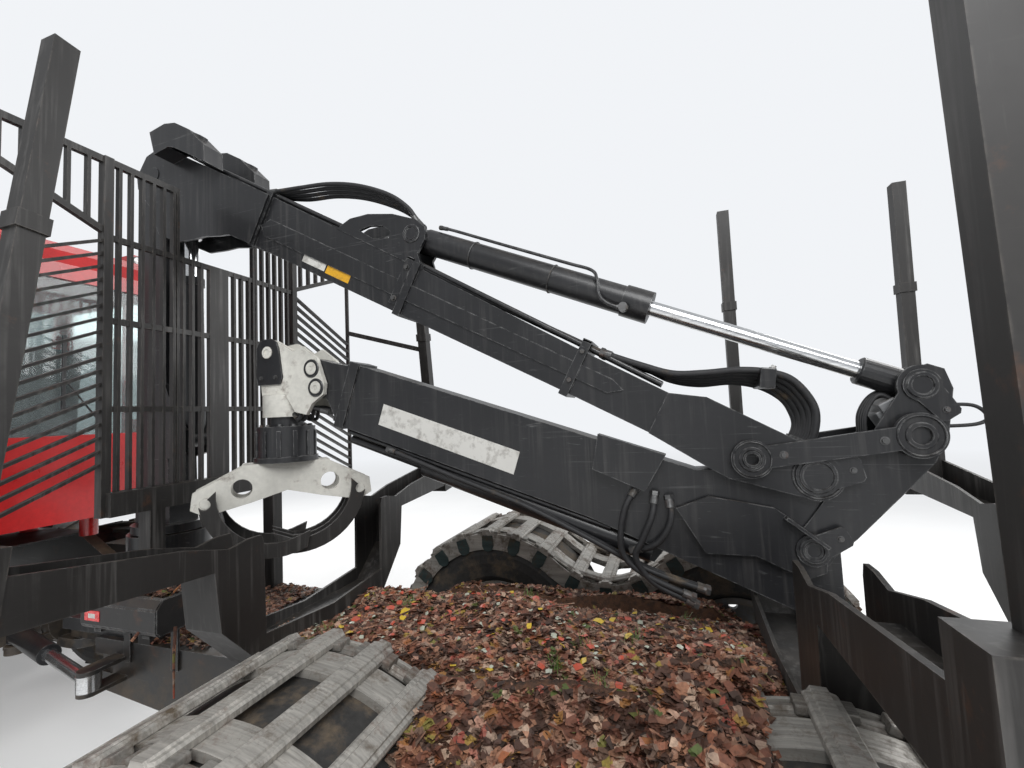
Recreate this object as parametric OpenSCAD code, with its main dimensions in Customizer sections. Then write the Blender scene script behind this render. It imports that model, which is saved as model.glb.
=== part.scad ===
// Forestry forwarder: eight wheels, load bunks and a folding loader crane.
// X forward, Y to the left, Z up, ground at zero, origin in the middle of the footprint.

/* [Whole machine] */
// overall length, nose to rear bumper
machine_l = 9900; // [9700:50:10400]
// distance from centre line to the middle of a wheel
track_half = 1100; // [1080:5:1150]
// spacing of the two wheels on a bogie
bogie_base = 1500; // [1460:10:1560]
// position of the front bogie centre
front_bogie_x = 3055; // [3000:5:3100]
// position of the rear bogie centre
rear_bogie_x = -2495; // [-2550:5:-2450]

/* [Wheels and tracks] */
// tyre outer radius without lugs
tyre_r = 635; // [600:5:640]
// lug height on a tyre
lug_h = 25; // [10:1:30]
// tyre width
tyre_w = 640; // [560:10:660]
// number of lugs on each side of a tyre
lug_count = 20; // [12:1:24]
// rim radius where the tyre seats
rim_r = 337; // [320:1:350]
// thickness of the track band over the tyre
band_t = 28; // [20:1:40]
// height of a track shoe over the band
shoe_h = 30; // [20:1:40]
// width of a track across the machine
track_w = 700; // [660:10:720]

/* [Frames] */
// half width of the rear frame
frame_half = 450; // [420:5:470]
// top of the rear frame rails
frame_top = 1080; // [1060:5:1110]
// bottom of the frame rails
frame_bot = 760; // [740:5:800]
// wall of the frame rails
rail_t = 90; // [60:5:110]
// position of the steering pivot
hinge_x = 955; // [930:5:980]
// radius of the steering pivot pin
hinge_r = 70; // [60:1:80]
// lean of the bogie beam, outer face to wheel inner face
bogie_gap = 40; // [25:1:60]

/* [Load space] */
// bunk positions along the machine
bunk_front_x = -975; // [-1000:5:-950]
bunk_mid_x = -3395; // [-3420:5:-3380]
bunk_rear_x = -4445; // [-4470:5:-4420]
// bunk channel width along the machine
bunk_w = 210; // [180:5:230]
// height of the outer end of a bunk arm
bunk_end_z = 1800; // [1780:5:1840]
// stake position from the centre line
stake_y = 1480; // [1450:5:1490]
// top of the stakes
stake_top = 3600; // [3300:10:3600]
// stake width
stake_w = 76; // [70:2:90]

/* [Gate] */
// position of the load gate
gate_x = -215; // [-220:1:-210]
// bar thickness along the machine
gate_t = 30; // [24:1:34]
// underside of the gate's base beam
gate_bot = 1780; // [1760:5:1800]
// top of the gate
gate_top = 3650; // [3550:10:3700]
// half width of the straight middle part
gate_mid = 640; // [600:10:680]
// half width of the whole gate
gate_half = 1300; // [1250:10:1340]
// height of the notch for the crane
notch_z = 3240; // [3200:10:3300]
// half width of the notch
notch_half = 260; // [250:5:300]
// width of a gate bar
bar_w = 16; // [12:1:20]
// pitch of the gate bars
bar_pitch = 58; // [54:1:80]

/* [Crane] */
// position of the slewing axis
pillar_x = 200; // [190:1:210]
// height of the main boom's base pivot
boom_z = 3897; // [3880:1:3910]
// slope of the main boom, down to the rear
boom_slope = 28.4; // [28:0.1:28.8]
// length of the main boom between its pivots
boom_l = 4179; // [4160:1:4200]
// half width of the main boom box
boom_half = 88; // [80:1:92]
// depth of the main boom above its axis at the base and at the knee
boom_up_base = 190; // [180:1:200]
boom_up_knee = 62; // [55:1:75]
// depth of the main boom below its axis
boom_down = 130; // [120:1:140]
// slope of the jib, up to the front
jib_slope = 18.9; // [18.5:0.1:19.2]
// how much shorter the jib's outer box is than the main boom
jib_short = 1909; // [1885:1:1930]
// distance of the jib's top below the knee pivot
jib_drop = 122; // [118:1:130]
// depth of the jib box
jib_depth = 352; // [330:1:360]
// half width of the jib box
jib_half = 76; // [70:1:78]
// wall of the jib box
jib_wall = 12; // [8:1:16]
// bore of the knee cylinder barrel, outside
knee_barrel_r = 68; // [60:1:72]
// knee cylinder rod radius
knee_rod_r = 35; // [30:1:40]
// knee cylinder barrel length from its foot pin
knee_barrel_l = 1290; // [1250:5:1330]
// lift cylinder barrel radius
lift_barrel_r = 68; // [60:1:72]
// lift cylinder rod radius
lift_rod_r = 42; // [36:1:48]
// thickness of the knee plates
plate_t = 16; // [12:1:18]

/* [Grapple] */
// distance of the rotator axis behind the crane's slewing axis
grapple_back = 960; // [955:5:1000]
// half length between the jaw hinges
jaw_half = 400; // [380:5:410]
// yaw of the grapple
grapple_yaw = 46; // [28:1:50]
// height of the jaw hinges
jaw_z = 1800; // [1790:2:1815]

/* [Cab and engine] */
// rear wall of the cab
cab_back = 1330; // [1310:5:1350]
// windscreen foot
cab_front = 2930; // [2900:5:2960]
// half width of the cab
cab_half = 800; // [760:5:820]
// top of the cab roof
cab_top = 3660; // [3600:10:3720]
// cab floor
cab_floor = 1560; // [1540:5:1580]
// wall thickness of the cab
cab_wall = 55; // [45:1:70]
// half width of the engine hood
hood_half = 640; // [600:5:680]
// top of the engine hood
hood_top = 2330; // [2250:10:2400]
// wall of the hood
hood_wall = 25; // [18:1:35]

/* [Hidden] */
$fn = 48;
fit = 6;
slip = 0.3;
front_x = machine_l / 2;
rear_x = -machine_l / 2;
lug_r = tyre_r + lug_h;
front_axle_z = lug_r;
rear_axle_z = lug_r + band_t + shoe_h;
side = [1, -1];
bogie_half = bogie_base / 2;

// crane places, all in the plane of the crane, as [x, z]
base = [pillar_x, boom_z];
cb = cos(boom_slope);
sb = sin(boom_slope);
function M(u, v) = [base[0] - cb * u - sb * v, base[1] - sb * u + cb * v];
jib_l = boom_l - jib_short;
knee = M(boom_l, -1);
cj = cos(jib_slope);
sj = sin(jib_slope);
function J(u, v) = [knee[0] + cj * u - sj * v, knee[1] + sj * u + cj * v];
link_a = M(boom_l - 236, -48);
link_b = M(boom_l + 224, 290);
crank_d = J(-60, -284);
crank_e = M(boom_l + 167, 470);
knee_foot = M(2010, 280);
tip_1 = J(jib_l + 235, -216);
tip_2 = J(jib_l + 172, -311);
lift_top = M(330, -235);
lift_foot = [0, 2150];
rotor_x = pillar_x - grapple_back;
hang_z = 2440;

// an outline in the XZ plane, as deep as from y0 to y1
module slab(y0, y1, pts) {
  translate([0, y1, 0])
    rotate([90, 0, 0])
      linear_extrude(y1 - y0)
        polygon(pts);
}

// the same on both sides of the centre line
module slabs(y0, y1, pts) {
  slab(y0, y1, pts);
  slab(-y1, -y0, pts);
}

module yrod(c, r, y0, y1) {
  translate([c[0], y0, c[1]])
    rotate([-90, 0, 0])
      cylinder(r = r, h = y1 - y0);
}

module yrods(c, r, y0, y1) {
  yrod(c, r, y0, y1);
  yrod(c, r, -y1, -y0);
}

// a round bar in the XZ plane from a, start to stop along a to b
module prod(a, b, r, start, stop, y = 0) {
  ang = atan2(b[1] - a[1], b[0] - a[0]);
  translate([a[0], y, a[1]])
    rotate([0, 90 - ang, 0])
      translate([0, 0, start])
        cylinder(r = r, h = stop - start);
}

function span(a, b) = sqrt(pow(b[0] - a[0], 2) + pow(b[1] - a[1], 2));
function away(a, b, r) = [r * (a[1] - b[1]) / span(a, b), r * (b[0] - a[0]) / span(a, b)];

// a straight bar outline between two points with its own half widths
function bar2(a, b, ra, rb) = [a + away(a, b, ra), b + away(a, b, rb), b - away(a, b, rb), a - away(a, b, ra)];

// a link plate with two round ends
module link(a, b, ra, rb, waist, y0, y1) {
  yrod(a, ra, y0, y1);
  yrod(b, rb, y0, y1);
  slab(y0, y1, bar2(a, b, waist, waist));
}

// tyre cross-section: [radius, half width] pairs from bead to tread
module tyre_shape() {
  w = tyre_w / 2;
  polygon([[rim_r, -w * 0.76], [rim_r + 18, -w * 0.76], [rim_r + 60, -w * 0.95], [rim_r + 150, -w], [tyre_r - 90, -w], [tyre_r - 22, -w * 0.93],
    [tyre_r, -w * 0.72], [tyre_r, w * 0.72], [tyre_r - 22, w * 0.93], [tyre_r - 90, w], [rim_r + 150, w],
    [rim_r + 60, w * 0.95], [rim_r + 18, w * 0.76], [rim_r, w * 0.76]]);
}

module plain_tyre() {
  rotate_extrude($fn = 48)
    tyre_shape();
}

// one row of slanted lugs on each half of the tread
module lugs(out) {
  w = tyre_w / 2;
  depth = w * 0.93;
  for (n = [0:lug_count - 1])
    for (s = side)
      rotate([0, 0, (n + (s > 0 ? 0 : 0.5)) * 360 / lug_count])
        translate([tyre_r - 20, 0, 0])
          rotate([s * 28, 0, 0])
            translate([0, -24, s > 0 ? 10 : -depth])
              cube([out + 20, 48, depth - 10]);
}

module lugged_tyre() {
  plain_tyre();
  intersection() {
    lugs(lug_h + 30);
    cylinder(r = lug_r, h = tyre_w - 8, center = true);
  }
}

// rim with a dished disc; the disc stands toward +Z
module rim() {
  w = tyre_w / 2;
  r = rim_r - slip;
  difference() {
    rotate_extrude($fn = 48)
      polygon([[r - 22, -w * 0.8], [r + 14, -w * 0.8], [r + 14, -w * 0.8 + 8], [r, -w * 0.78], [r, w * 0.78],
        [r + 14, w * 0.8 - 8], [r + 14, w * 0.8], [r - 22, w * 0.8], [r - 30, 70], [250, 40], [170, 40],
        [150, 90], [90, 100], [0, 100], [0, 0], [170, 0], [250, 12], [r - 32, 20]]);
    for (n = [0:9])
      rotate([0, 0, n * 36])
        translate([135, 0, 60])
          cylinder(r = 12, h = 60);
    for (n = [0:4])
      rotate([0, 0, n * 72 + 18])
        translate([215, 0, 0])
          cylinder(r = 28, h = 60);
  }
}

// wheel hub and stub axle of a bogie beam, toward the rim
module hub(x, z, s) {
  yrod([x, z], 120, s > 0 ? track_half - tyre_w / 2 - bogie_gap - 1 : -track_half + slip,
    s > 0 ? track_half - slip : -track_half + tyre_w / 2 + bogie_gap + 1);
}

// bogie beam: a case that tapers from the middle to each wheel, with round ends
bogie_in = 150;
module bogie_beam(x, z, s) {
  y1 = track_half - tyre_w / 2 - bogie_gap;
  y0 = y1 - bogie_in;
  lo = s > 0 ? y0 : -y1;
  hi = s > 0 ? y1 : -y0;
  for (e = side) {
    yrod([x + e * bogie_half, z], 190, lo, hi);
    hub(x + e * bogie_half, z, s);
    slab(lo, hi, [[x, z + 235], [x + e * bogie_half, z + 190], [x + e * bogie_half, z - 190], [x, z - 215]]);
  }
  yrod([x, z + 10], 225, s > 0 ? y0 : -y1, s > 0 ? y1 : -y0);
  difference() {
    yrod([x, z + 10], 190, s > 0 ? y1 : -y1 - 20, s > 0 ? y1 + 20 : -y1);
    yrod([x, z + 10], 150, s > 0 ? y1 + 8 : -y1 - 30, s > 0 ? y1 + 30 : -y1 - 8);
  }
}

// cross axle with a round centre case
module axle_tube(x, z) {
  y0 = track_half - tyre_w / 2 - bogie_gap - bogie_in - slip;
  yrod([x, z + 10], axle_r, -y0, y0);
  yrods([x, z + 10], 160, y0 - 60, y0);
  translate([x, 0, z + 10])
    scale(1)
      rotate_extrude($fn = 48)
        intersection() {
          circle(r = 205);
          translate([0, -205])
            square([205, 410]);
        }
}

// track: a band round both tyres and its shoes, one closed outline
shoe_pitch = 190;

// upper run of the track: it leaves each wheel sag_a degrees past its top and hangs between them
sag_a = 40;
function sag_x(r) = bogie_half - r * sin(sag_a);
function sag_mid(r) = r * cos(sag_a) - tan(sag_a) * sag_x(r) / 2;
function sag_z(r, x) = sag_mid(r) + (r * cos(sag_a) - sag_mid(r)) * x * x / (sag_x(r) * sag_x(r));
function sag_tilt(r, x) = atan(2 * (r * cos(sag_a) - sag_mid(r)) * x / (sag_x(r) * sag_x(r)));

module track_outline(r) {
  q = r - 3;
  for (e = side)
    translate([e * bogie_half, 0])
      circle(r = r, $fn = 64);
  polygon(concat([[-bogie_half, 0], [-bogie_half, -r], [bogie_half, -r], [bogie_half, 0]],
    [for (n = [4:-1:-4]) [n / 4 * (bogie_half - q * sin(sag_a)), sag_z(r, n / 4 * (bogie_half - q * sin(sag_a))) - (abs(n) == 4 ? 4 : 0)]]));
}

// end of one cross bar, standing away from the track
module shoe_end() {
  polygon([[-34, 0], [-34, -10], [-20, -4 - shoe_h], [20, -4 - shoe_h], [34, -10], [34, 0]]);
}

module track_shoes() {
  r = lug_r + band_t;
  n_flat = floor(bogie_base / shoe_pitch);
  step = bogie_base / n_flat;
  n_arc = floor(r * 3.1416 * (180 + sag_a) / 180 / shoe_pitch);
  for (n = [0:n_flat - 1])
    translate([-bogie_half + (n + 0.5) * step, 4 - r])
      shoe_end();
  for (e = side)
    for (n = [0:n_arc - 1])
      translate([e * bogie_half, 0])
        rotate(e * (n + 0.5) * (180 + sag_a) / n_arc)
          translate([0, 4 - r])
            shoe_end();
  for (n = [-1:1])
    translate([n * 185, sag_z(r, n * 185)])
      rotate(sag_tilt(r, n * 185) + 180)
        translate([0, 4])
          shoe_end();
}

module track(s) {
  r = lug_r + slip;
  translate([rear_bogie_x, s * track_half, rear_axle_z])
    rotate([90, 0, 0]) {
      difference() {
        union() {
          linear_extrude(track_w, center = true)
            track_shoes();
          for (q = side)
            translate([0, 0, q * track_w * 0.27])
              linear_extrude(track_w * 0.17, center = true)
                track_outline(lug_r + band_t);
        }
        linear_extrude(track_w + 10, center = true)
          track_outline(r);
      }
      for (q = side)
        translate([0, 0, q * (tyre_w / 2 + 12)])
          linear_extrude(14, center = true)
            difference() {
              track_outline(lug_r + band_t);
              track_outline(lug_r - 75);
            }
    }
}

module front_frame() {
  color("dimgray") {
    z0 = frame_bot + 40;
    z1 = cab_floor - 170;
    xb = hinge_x + 330;
    for (s = side)
      difference() {
        translate([0, s > 0 ? frame_half - rail_t : -frame_half, 0])
          slabby(rail_t, [[xb, z0 + 40], [xb, z0 + 330], [xb + 500, z1], [front_x - 330, z1], [front_x - 330, z0 + 60],
            [front_bogie_x + 320, z0 + 60], [front_bogie_x + 210, front_axle_z - 30], [front_bogie_x - 210, front_axle_z - 30],
            [front_bogie_x - 320, z0 + 60], [xb + 500, z0]]);
        yrod([front_bogie_x, front_axle_z + 10], axle_r + slip, -600, 600);
      }
    translate([xb + 500, -frame_half + rail_t - 1, z1 - 12])
      cube([cab_front - xb - 500, (frame_half - rail_t) * 2 + 2, 12]);
    translate([3170, -frame_half + rail_t - 1, z1 - 40])
      cube([1110, (frame_half - rail_t) * 2 + 2, 40]);
    difference() {
      union() {
        translate([xb - 126, 0, roll_z])
          rotate([0, 90, 0])
            cylinder(r = 190, h = 136);
        translate([xb, -frame_half + 1, z0 + 40])
          cube([60, frame_half * 2 - 2, 289]);
      }
      translate([xb - 200, 0, roll_z])
        rotate([0, 90, 0])
          cylinder(r = roll_r + slip, h = 700);
    }
    front_guard();
    tank_and_steps();
    // ears and pins of the hood's hinge
    slabs(300, 330, [[front_x - 330, 1290], [front_x - 300, 1290], [front_x - 245, 1405], [front_x - 200, 1425],
      [front_x - 200, 1465], [front_x - 250, 1465], [front_x - 330, 1350]]);
    yrods(hood_pin, 14, 300, 362);
  }
}

hood_pin = [front_x - 225, 1440];
axle_r = 120;
roll_z = frame_top - 130;
roll_r = 110;

module slabby(t, pts) {
  translate([0, t, 0])
    rotate([90, 0, 0])
      linear_extrude(t)
        polygon(pts);
}

// nose guard with its tow eye and the bars over the grille
module front_guard() {
  x = front_x - 330;
  translate([x, -frame_half - 120, frame_bot + 30])
    difference() {
      cube([110, frame_half * 2 + 240, 560]);
      for (n = [0:4])
        translate([-10, 140 + n * 190, 130])
          cube([130, 110, 300]);
    }
  difference() {
    slab(-40, 40, [[x + 100, frame_bot + 60], [x + 330, frame_bot + 90], [x + 330, frame_bot + 200], [x + 100, frame_bot + 260]]);
    yrod([x + 250, frame_bot + 145], 27, -60, 60);
  }
}

// fuel tank on the left, tool box on the right, steps under the door
module tank_and_steps() {
  for (s = side)
    translate([hinge_x + 390, s > 0 ? frame_half : -frame_half - 280, 820])
      cube([260, 280, 470]);
}

module engine_block() {
  color("gray")
    translate([hood_back + engine_gap, -engine_half, cab_floor - 170 + slip])
      cube([front_x - 650 - hood_back - engine_gap, engine_half * 2, engine_h]);
}

// hood outline in side view
hood_back = 3060;
engine_gap = 90;
engine_half = 330;
engine_h = 780;
hood_low = 1420;
function hood_pts(d) = [[hood_back - (d > 0 ? 50 : 0), hood_low - (d > 0 ? 50 : 0)], [hood_back - (d > 0 ? 50 : 0), hood_top - d],
  [hood_back + 900, hood_top - 40 - d], [front_x - 330 - d, hood_top - 190 - d],
  [front_x - 180 - d, hood_top - 420], [front_x - 160 - d, hood_low - (d > 0 ? 50 : 0)]];

module engine_hood() {
  color("firebrick") {
    difference() {
      slab(-hood_half, hood_half, hood_pts(0));
      slab(-hood_half + hood_wall, hood_half - hood_wall, hood_pts(hood_wall));
      for (n = [0:7])
        for (s = side)
          translate([3900 + n * 85, s > 0 ? hood_half - 60 : -hood_half - 20, 1600])
            cube([45, 80, 420]);
      for (n = [0:8])
        translate([front_x - 400, -400 + n * 92, 1560])
          cube([300, 60, 300]);
      translate([front_x - 240, 0, 2000])
        for (s = side)
          translate([0, s * 430, -40])
            rotate([0, 90, 0])
              cylinder(r = 75, h = 200);
    }
    for (s = side)
      translate([front_x - 210, s * 430, 1960])
        rotate([0, 90, 0])
          cylinder(r = 75 - slip, h = 28);
    difference() {
      slabs(336, 360, [[hood_pin[0] - 25, 1415], [hood_pin[0] + 50, 1415], [hood_pin[0] + 50, 1500], [hood_pin[0] - 25, 1500]]);
      yrods(hood_pin, 14 + slip, 300, 400);
    }
    translate([3500, -420, hood_top - 60])
      cylinder(r = 62, h = 620);
  }
}

// cab side outline: list of [x, z]
function cab_side(d) = [[cab_back + d, cab_floor + d], [cab_back + d, cab_top - 160 - d], [cab_back + 60 + d, cab_top - d],
  [cab_front - 330 - d, cab_top - d], [cab_front - 150 - d, cab_top - 120 - d], [cab_front - d, cab_floor + 800],
  [cab_front - d, cab_floor + 330], [cab_front - 260 - d, cab_floor + d]];

door_x0 = cab_back + 560;
door_x1 = cab_front - 240;
door_pin = [door_x1 - 12, cab_half + 15];
hinge_zs = [cab_floor + 250, cab_top - 480];
door_z0 = cab_floor + 90;
door_z1 = cab_top - 210;
win_low = cab_floor + 760;
win_high = cab_top - 260;

module cab_body() {
  color("firebrick") {
    difference() {
      slab(-cab_half, cab_half, cab_side(0));
      slab(-cab_half + cab_wall, cab_half - cab_wall, cab_side(cab_wall));
      // rear window
      translate([cab_back - 10, -cab_half + 130, win_low - 120])
        cube([cab_wall + 20, cab_half * 2 - 260, win_high - win_low + 100]);
      // front window
      translate([cab_front - 420, -cab_half + 110, cab_floor + 420])
        cube([600, cab_half * 2 - 220, win_high - cab_floor - 430]);
      // right side windows
      translate([cab_back + 130, -cab_half - 10, win_low])
        cube([420, cab_wall + 20, win_high - win_low]);
      translate([door_x0, -cab_half - 10, win_low - 260])
        cube([door_x1 - door_x0, cab_wall + 20, win_high - win_low + 260]);
      // left side window behind the door
      translate([cab_back + 130, cab_half - cab_wall - 10, win_low])
        cube([380, cab_wall + 20, win_high - win_low]);
      // doorway
      translate([door_x0 - fit, cab_half - cab_wall - 10, door_z0 - fit])
        cube([door_x1 - door_x0 + 2 * fit, cab_wall + 20, door_z1 - door_z0 + 2 * fit]);
    }
    // roof visor
    translate([cab_back + 40, -cab_half - 25, cab_top - 130])
      difference() {
        cube([cab_front - cab_back - 170, cab_half * 2 + 50, 130]);
        translate([25, 25, -1])
          cube([cab_front - cab_back - 220, cab_half * 2, 132]);
      }
    // lamp boxes at the four corners of the roof
    for (s = side)
      for (x = [cab_back + 60, cab_front - 420])
        translate([x, s * (cab_half - 200) - 90, cab_top - 10])
          cube([150, 180, 90]);
    // door hinges: knuckles over and under those of the door
    for (z = hinge_zs)
      for (e = [-60 - slip, 90 + slip])
        translate([door_pin[0], door_pin[1], z + e]) {
          cylinder(r = 12, h = 60);
          translate([0, 2, 0])
            cube([door_x1 + fit + 40 - door_pin[0], 10, 60]);
          translate([door_x1 + fit + 6 - door_pin[0], -16, 0])
            cube([34, 28, 60]);
        }
    // mount feet
    for (s = side)
      for (x = [cab_back + 260, cab_front - 560])
        translate([x, s * 330, cab_floor - 170 + slip])
          cylinder(r = 60, h = 200);
  }
}

module cab_glass() {
  color("lightblue") {
    g = 8;
    translate([cab_back + 20, -cab_half + 130 + slip, win_low - 120 + slip])
      cube([g, cab_half * 2 - 260 - 2 * slip, win_high - win_low + 100 - 2 * slip]);
    translate([cab_back + 130 + slip, -cab_half + 20, win_low + slip])
      cube([420 - 2 * slip, g, win_high - win_low - 2 * slip]);
    translate([door_x0 + slip, -cab_half + 20, win_low - 260 + slip])
      cube([door_x1 - door_x0 - 2 * slip, g, win_high - win_low + 260 - 2 * slip]);
    translate([cab_back + 130 + slip, cab_half - 28, win_low + slip])
      cube([380 - 2 * slip, g, win_high - win_low - 2 * slip]);
    intersection() {
      translate([cab_front - 420 + slip, -cab_half + 110 + slip, cab_floor + 420 + slip])
        cube([600, cab_half * 2 - 220 - 2 * slip, win_high - cab_floor - 430 - 2 * slip]);
      difference() {
        slab(-cab_half, cab_half, cab_side(20));
        slab(-cab_half - 1, cab_half + 1, cab_side(20 + g));
      }
    }
  }
}

module cab_door() {
  color("firebrick") {
    difference() {
      translate([door_x0, cab_half - cab_wall, door_z0])
        cube([door_x1 - door_x0, cab_wall, door_z1 - door_z0]);
      translate([door_x0 + 60, cab_half - cab_wall - 10, win_low - 240])
        cube([door_x1 - door_x0 - 120, cab_wall + 20, door_z1 - win_low + 170]);
    }
    translate([door_x0 + 90, cab_half - 2, win_low - 330])
      cube([140, 35, 30]);
    for (z = hinge_zs)
      translate([door_pin[0], door_pin[1], z]) {
        cylinder(r = 12, h = 90);
        translate([-12, -14.5, 0])
          cube([24, 14, 90]);
      }
  }
}

module door_glass() {
  color("lightblue")
    translate([door_x0 + 60 + slip, cab_half - 28, win_low - 240 + slip])
      cube([door_x1 - door_x0 - 120 - 2 * slip, 8, door_z1 - win_low + 170 - 2 * slip]);
}

seat_x = cab_back + 720;
module cab_seat() {
  color("black") {
    translate([seat_x - 160, -160, cab_floor + cab_wall + slip])
      cylinder(r = 90, h = 330, $fn = 32);
    translate([seat_x - 260, -260 - 160 + 100, cab_floor + cab_wall + 320])
      cube([520, 520, 140]);
    slab(-310, 190, [[seat_x - 300, cab_floor + 500], [seat_x - 170, cab_floor + 500], [seat_x - 260, cab_floor + 1330],
      [seat_x - 380, cab_floor + 1330]]);
    for (s = [-375, 200])
      translate([seat_x - 120, s, cab_floor + 590])
        cube([420, 110, 70]);
    for (s = [-375, 200])
      translate([seat_x - 80, s + 20, cab_floor + 460])
        cube([80, 70, 135]);
    translate([seat_x - 150, -375, cab_floor + 460])
      cube([180, 685, 40]);
  }
}

// top of the mudguards, clear of the swinging wheels and of the door
fender_z = cab_floor + 55;
// mudguards over the front wheels, a strip that follows the two arches
module front_fenders() {
  color("black")
    for (s = side)
      slab(s > 0 ? cab_half + slip : -track_half - tyre_w / 2 + 20, s > 0 ? track_half + tyre_w / 2 - 20 : -cab_half - slip,
        [[cab_back + 20, fender_z - 150], [cab_back + 60, fender_z - 90], [cab_back + 400, fender_z], [front_x - 640, fender_z],
          [front_x - 330, fender_z - 140], [front_x - 350, fender_z - 190], [front_x - 650, fender_z - 45],
          [cab_back + 410, fender_z - 45], [cab_back + 80, fender_z - 135]]);
}

module front_axle() {
  color("dimgray")
    axle_tube(front_bogie_x, front_axle_z);
}

module front_bogie_left() {
  color("dimgray")
    bogie_beam(front_bogie_x, front_axle_z, 1);
}

module front_bogie_right() {
  color("dimgray")
    bogie_beam(front_bogie_x, front_axle_z, -1);
}

module wheel_at(n, s) {
  translate([front_bogie_x + n * bogie_half, s * track_half, front_axle_z])
    rotate([s > 0 ? -90 : 90, 0, 0])
      children();
}

module tyre_left_1() {
  color("black")
    wheel_at(1, 1)
      lugged_tyre();
}

module tyre_left_2() {
  color("black")
    wheel_at(-1, 1)
      lugged_tyre();
}

module tyre_right_1() {
  color("black")
    wheel_at(1, -1)
      lugged_tyre();
}

module tyre_right_2() {
  color("black")
    wheel_at(-1, -1)
      lugged_tyre();
}

module rim_left_1() {
  color("silver")
    wheel_at(1, 1)
      rim();
}

module rim_left_2() {
  color("silver")
    wheel_at(-1, 1)
      rim();
}

module rim_right_1() {
  color("silver")
    wheel_at(1, -1)
      rim();
}

module rim_right_2() {
  color("silver")
    wheel_at(-1, -1)
      rim();
}

// steering yoke: a barrel along X into the front frame and ears round the rear frame's pin
steer_eye = [hinge_x + 150, 330];
steer_foot = [-60, 600];
module centre_joint() {
  color("dimgray") {
    difference() {
      union() {
        translate([hinge_x + 124, 0, roll_z])
          rotate([0, 90, 0])
            cylinder(r = roll_r, h = 520);
        translate([hinge_x + 124, 0, roll_z])
          rotate([0, 90, 0])
            cylinder(r = 185, h = 78);
        for (z = [roll_z - 170, roll_z + 110])
          translate([0, 0, z]) {
            translate([hinge_x, -130, 0])
              cube([140, 260, 60]);
            translate([hinge_x, 0, 0])
              cylinder(r = 130, h = 60);
          }
        translate([steer_eye[0] - 22, -steer_eye[1] - 50, roll_z - 114])
          cube([46, steer_eye[1] * 2 + 100, 52]);
        for (s = side)
          translate([steer_eye[0], s * steer_eye[1], roll_z - 114])
            cylinder(r = 60, h = 52);
      }
      translate([hinge_x, 0, roll_z - 200])
        cylinder(r = hinge_r + slip, h = 400);
    }
    for (s = side)
      translate([steer_eye[0], s * steer_eye[1], roll_z - 70])
        cylinder(r = 26, h = 122);
  }
}

steer_ang = atan2(steer_foot[1] - steer_eye[1], steer_foot[0] - steer_eye[0]);
module steer_place(s) {
  translate([steer_eye[0], s * steer_eye[1], roll_z])
    rotate([0, 0, s * steer_ang])
      rotate([0, 90, 0])
        children();
}

steer_l = span(steer_eye, steer_foot);
module steer_barrel() {
  difference() {
    union() {
      translate([0, 0, 40])
        cylinder(r = 55, h = 560);
      rotate([0, 90, 0])
        cylinder(r = 50, h = 92, center = true);
    }
    translate([0, 0, 120])
      cylinder(r = 33 + slip, h = 500);
    rotate([0, 90, 0])
      cylinder(r = 26 + slip, h = 100, center = true);
  }
}

module steer_rod() {
  translate([0, 0, 420])
    cylinder(r = 33, h = steer_l - 450);
  translate([0, 0, steer_l])
    rotate([0, 90, 0])
      cylinder(r = 52, h = 80, center = true);
}

module steer_barrel_left() {
  color("dimgray")
    steer_place(1)
      steer_barrel();
}

module steer_barrel_right() {
  color("dimgray")
    steer_place(-1)
      steer_barrel();
}

module steer_rod_left() {
  color("silver")
    steer_place(1)
      steer_rod();
}

module steer_rod_right() {
  color("silver")
    steer_place(-1)
      steer_rod();
}

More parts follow.
